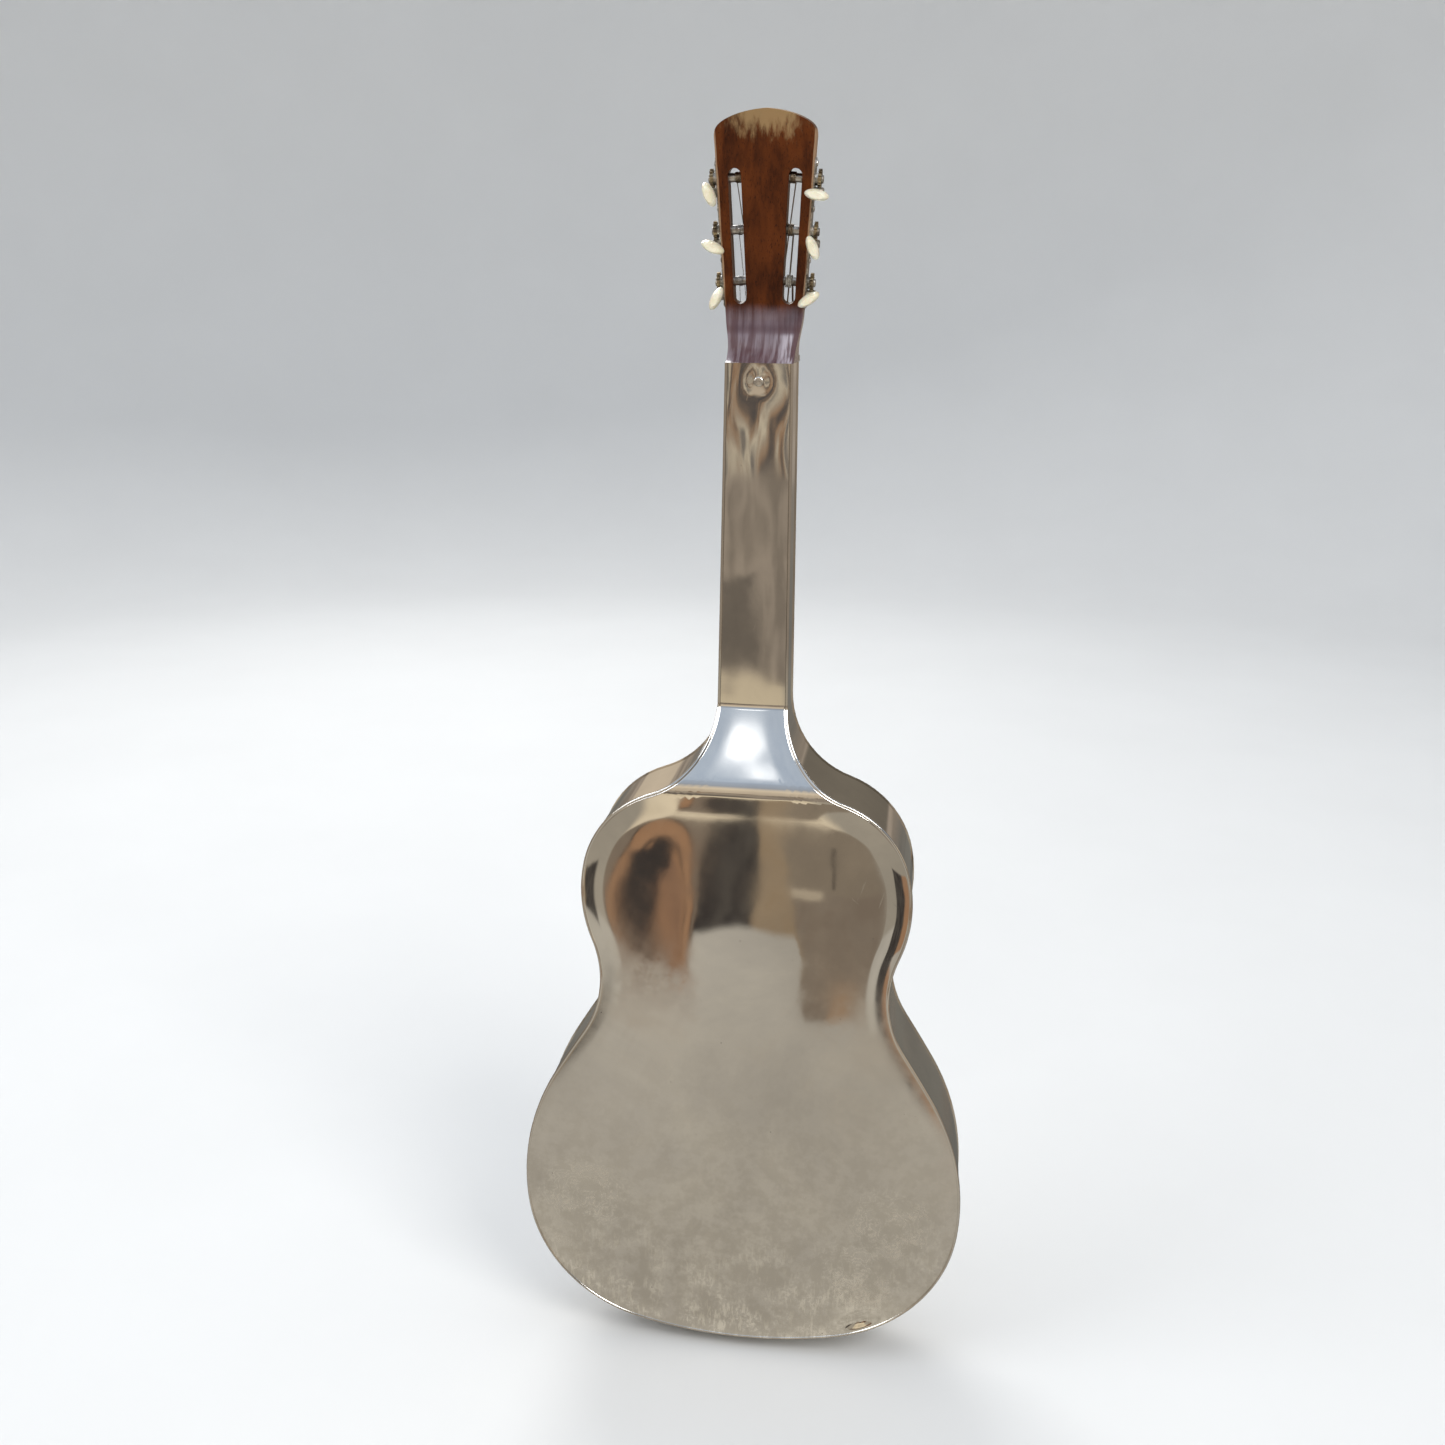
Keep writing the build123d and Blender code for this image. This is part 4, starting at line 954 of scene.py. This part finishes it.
class Surroundings(Painter):
    """Colours of the studio by direction: degrees round from +Y towards +X, and degrees up."""

    def __init__(self, tree):
        super().__init__(tree, add_node(tree, "ShaderNodeTexCoord").outputs["Generated"])
        split = add_node(tree, "ShaderNodeSeparateXYZ", {0: self.place})
        self.backward = split.outputs["Y"]
        plain = self.math("ARCTAN2", split.outputs["X"], split.outputs["Y"])
        self.around = self.math("MULTIPLY", plain, DEGREES)
        self.rise = self.math("MULTIPLY", self.math("ARCSINE", split.outputs["Z"]), DEGREES)
        drift = self.math("SUBTRACT", self.clouds(9, detail=2.0), 0.5)
        self.around_bent = self.math("MULTIPLY_ADD", drift, 4.0, self.around)
        drift_up = self.math("SUBTRACT", self.clouds(7, detail=2.0, centre=(4, 2, 1)), 0.5)
        self.rise_bent = self.math("MULTIPLY_ADD", drift_up, 3.0, self.rise)

    def oval(self, centre, half):
        """Distance from a direction, 1 on the oval with these half widths in degrees."""
        return self.ellipse(self.around_bent, self.rise_bent, centre, half)

    def patch(self, left, right, low, high, soft):
        """1 inside a block of directions."""
        wide = self.between(self.around_bent, left, right, soft)
        return self.math("MULTIPLY", wide, self.between(self.rise_bent, low, high, soft))

    def floor_tones(self):
        """Beige low down toward the back, dark toward the front, where a painted shadow of the guitar
        darkens the floor.
        """
        cloudy = self.fade(self.clouds(5, detail=3.0), 0.3, 0.7)
        tone = self.mix(cloudy, (0.48, 0.442, 0.377), (0.61, 0.567, 0.49))
        # Painted shadow: the floor toward the front is darkened as if the guitar's own shadow lay on it.
        floor_shadow_front = self.fade(self.backward, 0.3, -0.4)
        return self.painted(tone, (floor_shadow_front, 0.84, (0.075, 0.073, 0.068)))

    def hanging_shapes(self):
        """Furniture and curtains under the horizon, and how far down each one hangs."""
        past_start = self.math("SUBTRACT", self.around_bent, ROUND_START)
        turn = self.math("DIVIDE", past_start, ROUND_REPEAT)

        def stop(degrees_round, colour, hang=0.0):
            return (degrees_round - ROUND_START) / ROUND_REPEAT, (*colour, hang)

        tone, hang = self.ramp(
            self.math("FRACT", turn),
            stop(-12.0, BEIGE, 0.3),
            stop(-10.5, ORANGE, 1.0),
            stop(-7.0, ORANGE, 1.0),
            stop(-6.5, SHADE, 1.0),
            stop(-3.6, SHADE, 0.9),
            stop(-3.2, BEIGE),
            stop(0.6, BEIGE),
            stop(1.0, TAUPE, 0.9),
            stop(4.1, TAUPE, 1.0),
            stop(4.3, TAN),
            stop(5.8, TAN),
            stop(5.95, SHADE),
            stop(8.5, SHADE, 0.05),
            stop(8.75, ORANGE, 0.8),
            stop(12.5, ORANGE, 0.6),
            stop(12.9, BEIGE, 0.1),
            stop(17.0, BEIGE),
            stop(18.0, SHADE, 0.4),
            stop(22.0, SHADE),
            stop(23.0, TAN),
            stop(28.0, BEIGE),
            stop(31.0, ORANGE, 0.4),
            stop(36.0, BEIGE),
        )
        cloth = self.fade(self.clouds(120, detail=3.0, stretch=(1, 1, 0.3)), 0.35, 0.65)
        upper = self.patch(0.9, 4.3, -22.6, -18.0, 0.12)
        lit_edge = self.patch(3.0, 4.2, -22.95, -22.6, 0.10)
        cord = self.patch(2.60, 2.72, -22.4, -20.6, 0.05)
        foot = self.patch(2.0, 2.95, -28.0, -25.6, 0.15)
        tone = self.painted(
            tone,
            (cloth, 0.12, BEIGE),
            (upper, 0.9, (0.29, 0.235, 0.175)),
            (lit_edge, 0.8, (0.62, 0.52, 0.38)),
            (cord, 0.8, SHADE),
            (foot, 1.0, (0.40, 0.265, 0.165)),
        )

        arch = self.oval((10.6, -24.6), (1.95, 5.0))
        arched, _ = self.ramp(
            arch,
            (0.0, ORANGE),
            (0.60, (0.30, 0.175, 0.11)),
            (0.70, ORANGE),
            (0.73, SHADE),
            (0.77, (0.46, 0.265, 0.15)),
            (0.93, ORANGE),
            (0.97, SHADE),
            (1.0, TAUPE),
        )
        near_arch = self.between(self.around_bent, 8.55, 13.0, 0.1)
        above_foot = self.fade(self.rise_bent, -27.5, -26.5)
        tone = self.mix(self.math("MULTIPLY", near_arch, above_foot), tone, arched)
        dark_inside = self.patch(10.35, 11.7, -27.6, -21.2, 0.12)
        tone = self.mix(dark_inside, tone, SHADE)
        knob = self.oval((10.35, -21.6), (0.35, 0.75))
        tone = self.mix(self.fade(knob, 1.1, 0.9), tone, SHADE)
        return tone, hang

    def neck_band(self, colour):
        """Bright strip, plain wall with a dark panel, and wavy shapes up to the horizon."""
        up_strip = self.fade(self.rise_bent, -19.5, -14.5)
        strip = self.mix(up_strip, (0.92, 0.78, 0.57), (0.70, 0.59, 0.42))
        mottle = self.fade(self.clouds(30, detail=3.0, stretch=(1, 1, 0.5)), 0.38, 0.62)
        wall = self.mix(mottle, (0.27, 0.225, 0.180), (0.39, 0.325, 0.260))
        panel = self.patch(6.55, 12.0, -13.4, -9.6, 0.10)
        wall = self.painted(wall, (panel, 0.9, (0.165, 0.140, 0.115)))
        flow = self.clouds(46, detail=3.0, warp=0.8, stretch=(1, 1, 0.26))
        wavy, _ = self.ramp(
            flow,
            (0.34, (0.085, 0.080, 0.080)),
            (0.41, (0.15, 0.120, 0.100)),
            (0.45, (0.40, 0.250, 0.150)),
            (0.50, (0.42, 0.350, 0.270)),
            (0.55, (0.74, 0.650, 0.490)),
            (0.58, (0.44, 0.380, 0.300)),
            (0.66, (0.14, 0.130, 0.125)),
            (0.74, (0.50, 0.420, 0.320)),
        )
        off_middle = self.math("ABSOLUTE", self.math("SUBTRACT", self.around, 7.5))
        aside = self.fade(off_middle, 4.0, 5.5)
        strip = self.mix(aside, strip, BEIGE)
        wavy = self.mix(aside, wavy, wall)
        colour = self.mix(self.fade(self.rise_bent, -19.95, -19.55), colour, strip)
        colour = self.mix(self.fade(self.rise_bent, -13.95, -13.65), colour, wall)
        return self.mix(self.fade(self.rise_bent, -7.0, -6.2), colour, wavy)

    def sky(self):
        """Pale light above the horizon with dark panels and two hot lamps."""
        tone, _ = self.ramp(
            self.fade(self.rise, -2.0, 75.0),
            (0.0, (0.60, 0.50, 0.38)),
            (0.12, (0.84, 0.71, 0.54)),
            (0.28, (0.40, 0.435, 0.495)),
            (0.55, (0.47, 0.565, 0.715)),
            (1.0, (0.84, 0.88, 0.94)),
        )
        panels = self.math("SINE", self.math("MULTIPLY", self.around, -3 / DEGREES))
        below_top = self.fade(self.rise, 62.0, 30.0)
        panels = self.math("MULTIPLY", self.fade(panels, -0.1, 0.4), below_top)
        near_lamp = self.ellipse(self.around, self.rise, (8.5, 40.5), (9.0, 7.0))
        streaks = self.fade(self.clouds(150, detail=3.0, stretch=(1, 1, 0.5)), 0.42, 0.60)
        streaks = self.math("MULTIPLY", streaks, self.fade(near_lamp, 1.0, 0.6))
        tone = self.painted(
            tone, (panels, 0.85, (0.10, 0.09, 0.075)), (streaks, 0.40, (0.72, 0.80, 0.92))
        )
        for centre, half, share in LAMPS:
            away = self.math("POWER", self.ellipse(self.around, self.rise, centre, half), 2.0)
            away = self.math("MULTIPLY_ADD", streaks, -0.5, away)
            glow = self.math("EXPONENT", self.math("MULTIPLY", away, -1.0))
            glow = self.math("MINIMUM", self.math("MULTIPLY", glow, share), 1.0)
            tone = self.mix(glow, tone, LAMP_COLOUR)
        return tone

    def all_round(self):
        """The whole surroundings, from underfoot to overhead."""
        shapes, hang = self.hanging_shapes()
        above_floor = self.raised(self.rise_bent, (hang, HANG_DEPTH))
        colour = self.mix(self.fade(above_floor, -24.4, -24.0), self.floor_tones(), shapes)
        colour = self.neck_band(colour)
        low_down = self.fade(self.rise, -3.0, -12.0)
        in_front = self.math("MULTIPLY", self.fade(self.backward, -0.1, -0.6), low_down)
        colour = self.painted(colour, (in_front, 0.85, (0.155, 0.150, 0.135)))
        colour = self.mix(self.fade(self.rise_bent, -1.6, 0.4), colour, self.sky())
        doorway = self.ellipse(self.around, self.rise, (172.0, -13.0), (7.0, 10.0))
        return self.mix(self.fade(doorway, 1.1, 0.7), colour, (0.85, 0.87, 0.90))


def build_world():
    """Lights the scene from the surroundings, which the metal also mirrors."""
    world = bpy.data.worlds.new("studio")
    world.use_nodes = True
    scene.world = world
    world.node_tree.nodes.clear()
    colour = Surroundings(world.node_tree).all_round()
    background = add_node(world.node_tree, "ShaderNodeBackground", {"Color": colour})
    add_node(world.node_tree, "ShaderNodeOutputWorld", {"Surface": background.outputs[0]})


build_world()


def soft_light(name, spot, aim, size, watts, colour):
    """Square area light that faces a point."""
    lamp = bpy.data.lights.new(name, "AREA")
    lamp.shape = "RECTANGLE"
    lamp.size, lamp.size_y = size
    lamp.energy = watts
    lamp.color = colour
    holder = bpy.data.objects.new(name, lamp)
    scene.collection.objects.link(holder)
    holder.location = spot
    holder.rotation_euler = (Vector(aim) - Vector(spot)).to_track_quat("-Z", "Y").to_euler()
    return holder


MIDDLE = (0.0, 0.0, 0.5)
soft_light("key_light", (-1.9, 2.1, 2.7), MIDDLE, (1.6, 1.6), 70, (1.0, 0.98, 0.95))
soft_light("fill_light", (2.3, 1.2, 2.2), MIDDLE, (1.8, 1.2), 30, (0.95, 0.97, 1.0))
soft_light("front_light", (1.2, -2.6, 2.6), MIDDLE, (2.0, 1.4), 60, (1.0, 0.99, 0.97))

# ---------------------------------------------------------------- camera at the photograph's angle
CAMERA_SPOT = (-0.1231, 1.0797, 0.8448)
CAMERA_TURN = radians(7.754)           # towards +X from looking along -Y
CAMERA_DIP = radians(15.93)            # below the horizon
CAMERA_ROLL = radians(0.747)
CAMERA_LENS = 36.22                    # mm, on a sensor 36 mm wide
camera_data = bpy.data.cameras.new("camera")
camera_data.sensor_width = 36.0
camera_data.lens = CAMERA_LENS
camera_data.clip_start = 0.05
camera_data.clip_end = 50.0
camera = bpy.data.objects.new("camera", camera_data)
scene.collection.objects.link(camera)
ahead = Vector((sin(CAMERA_TURN), -cos(CAMERA_TURN), 0.0))
look = ahead * cos(CAMERA_DIP) - Vector((0, 0, 1)) * sin(CAMERA_DIP)
level_right = look.cross(Vector((0, 0, 1))).normalized()
level_up = level_right.cross(look)
right = level_right * cos(CAMERA_ROLL) + level_up * sin(CAMERA_ROLL)
upward = level_up * cos(CAMERA_ROLL) - level_right * sin(CAMERA_ROLL)
facing = Matrix((right, upward, -look)).transposed().to_4x4()
camera.matrix_world = Matrix.Translation(CAMERA_SPOT) @ facing
scene.camera = camera
scene.view_settings.view_transform = "Standard"
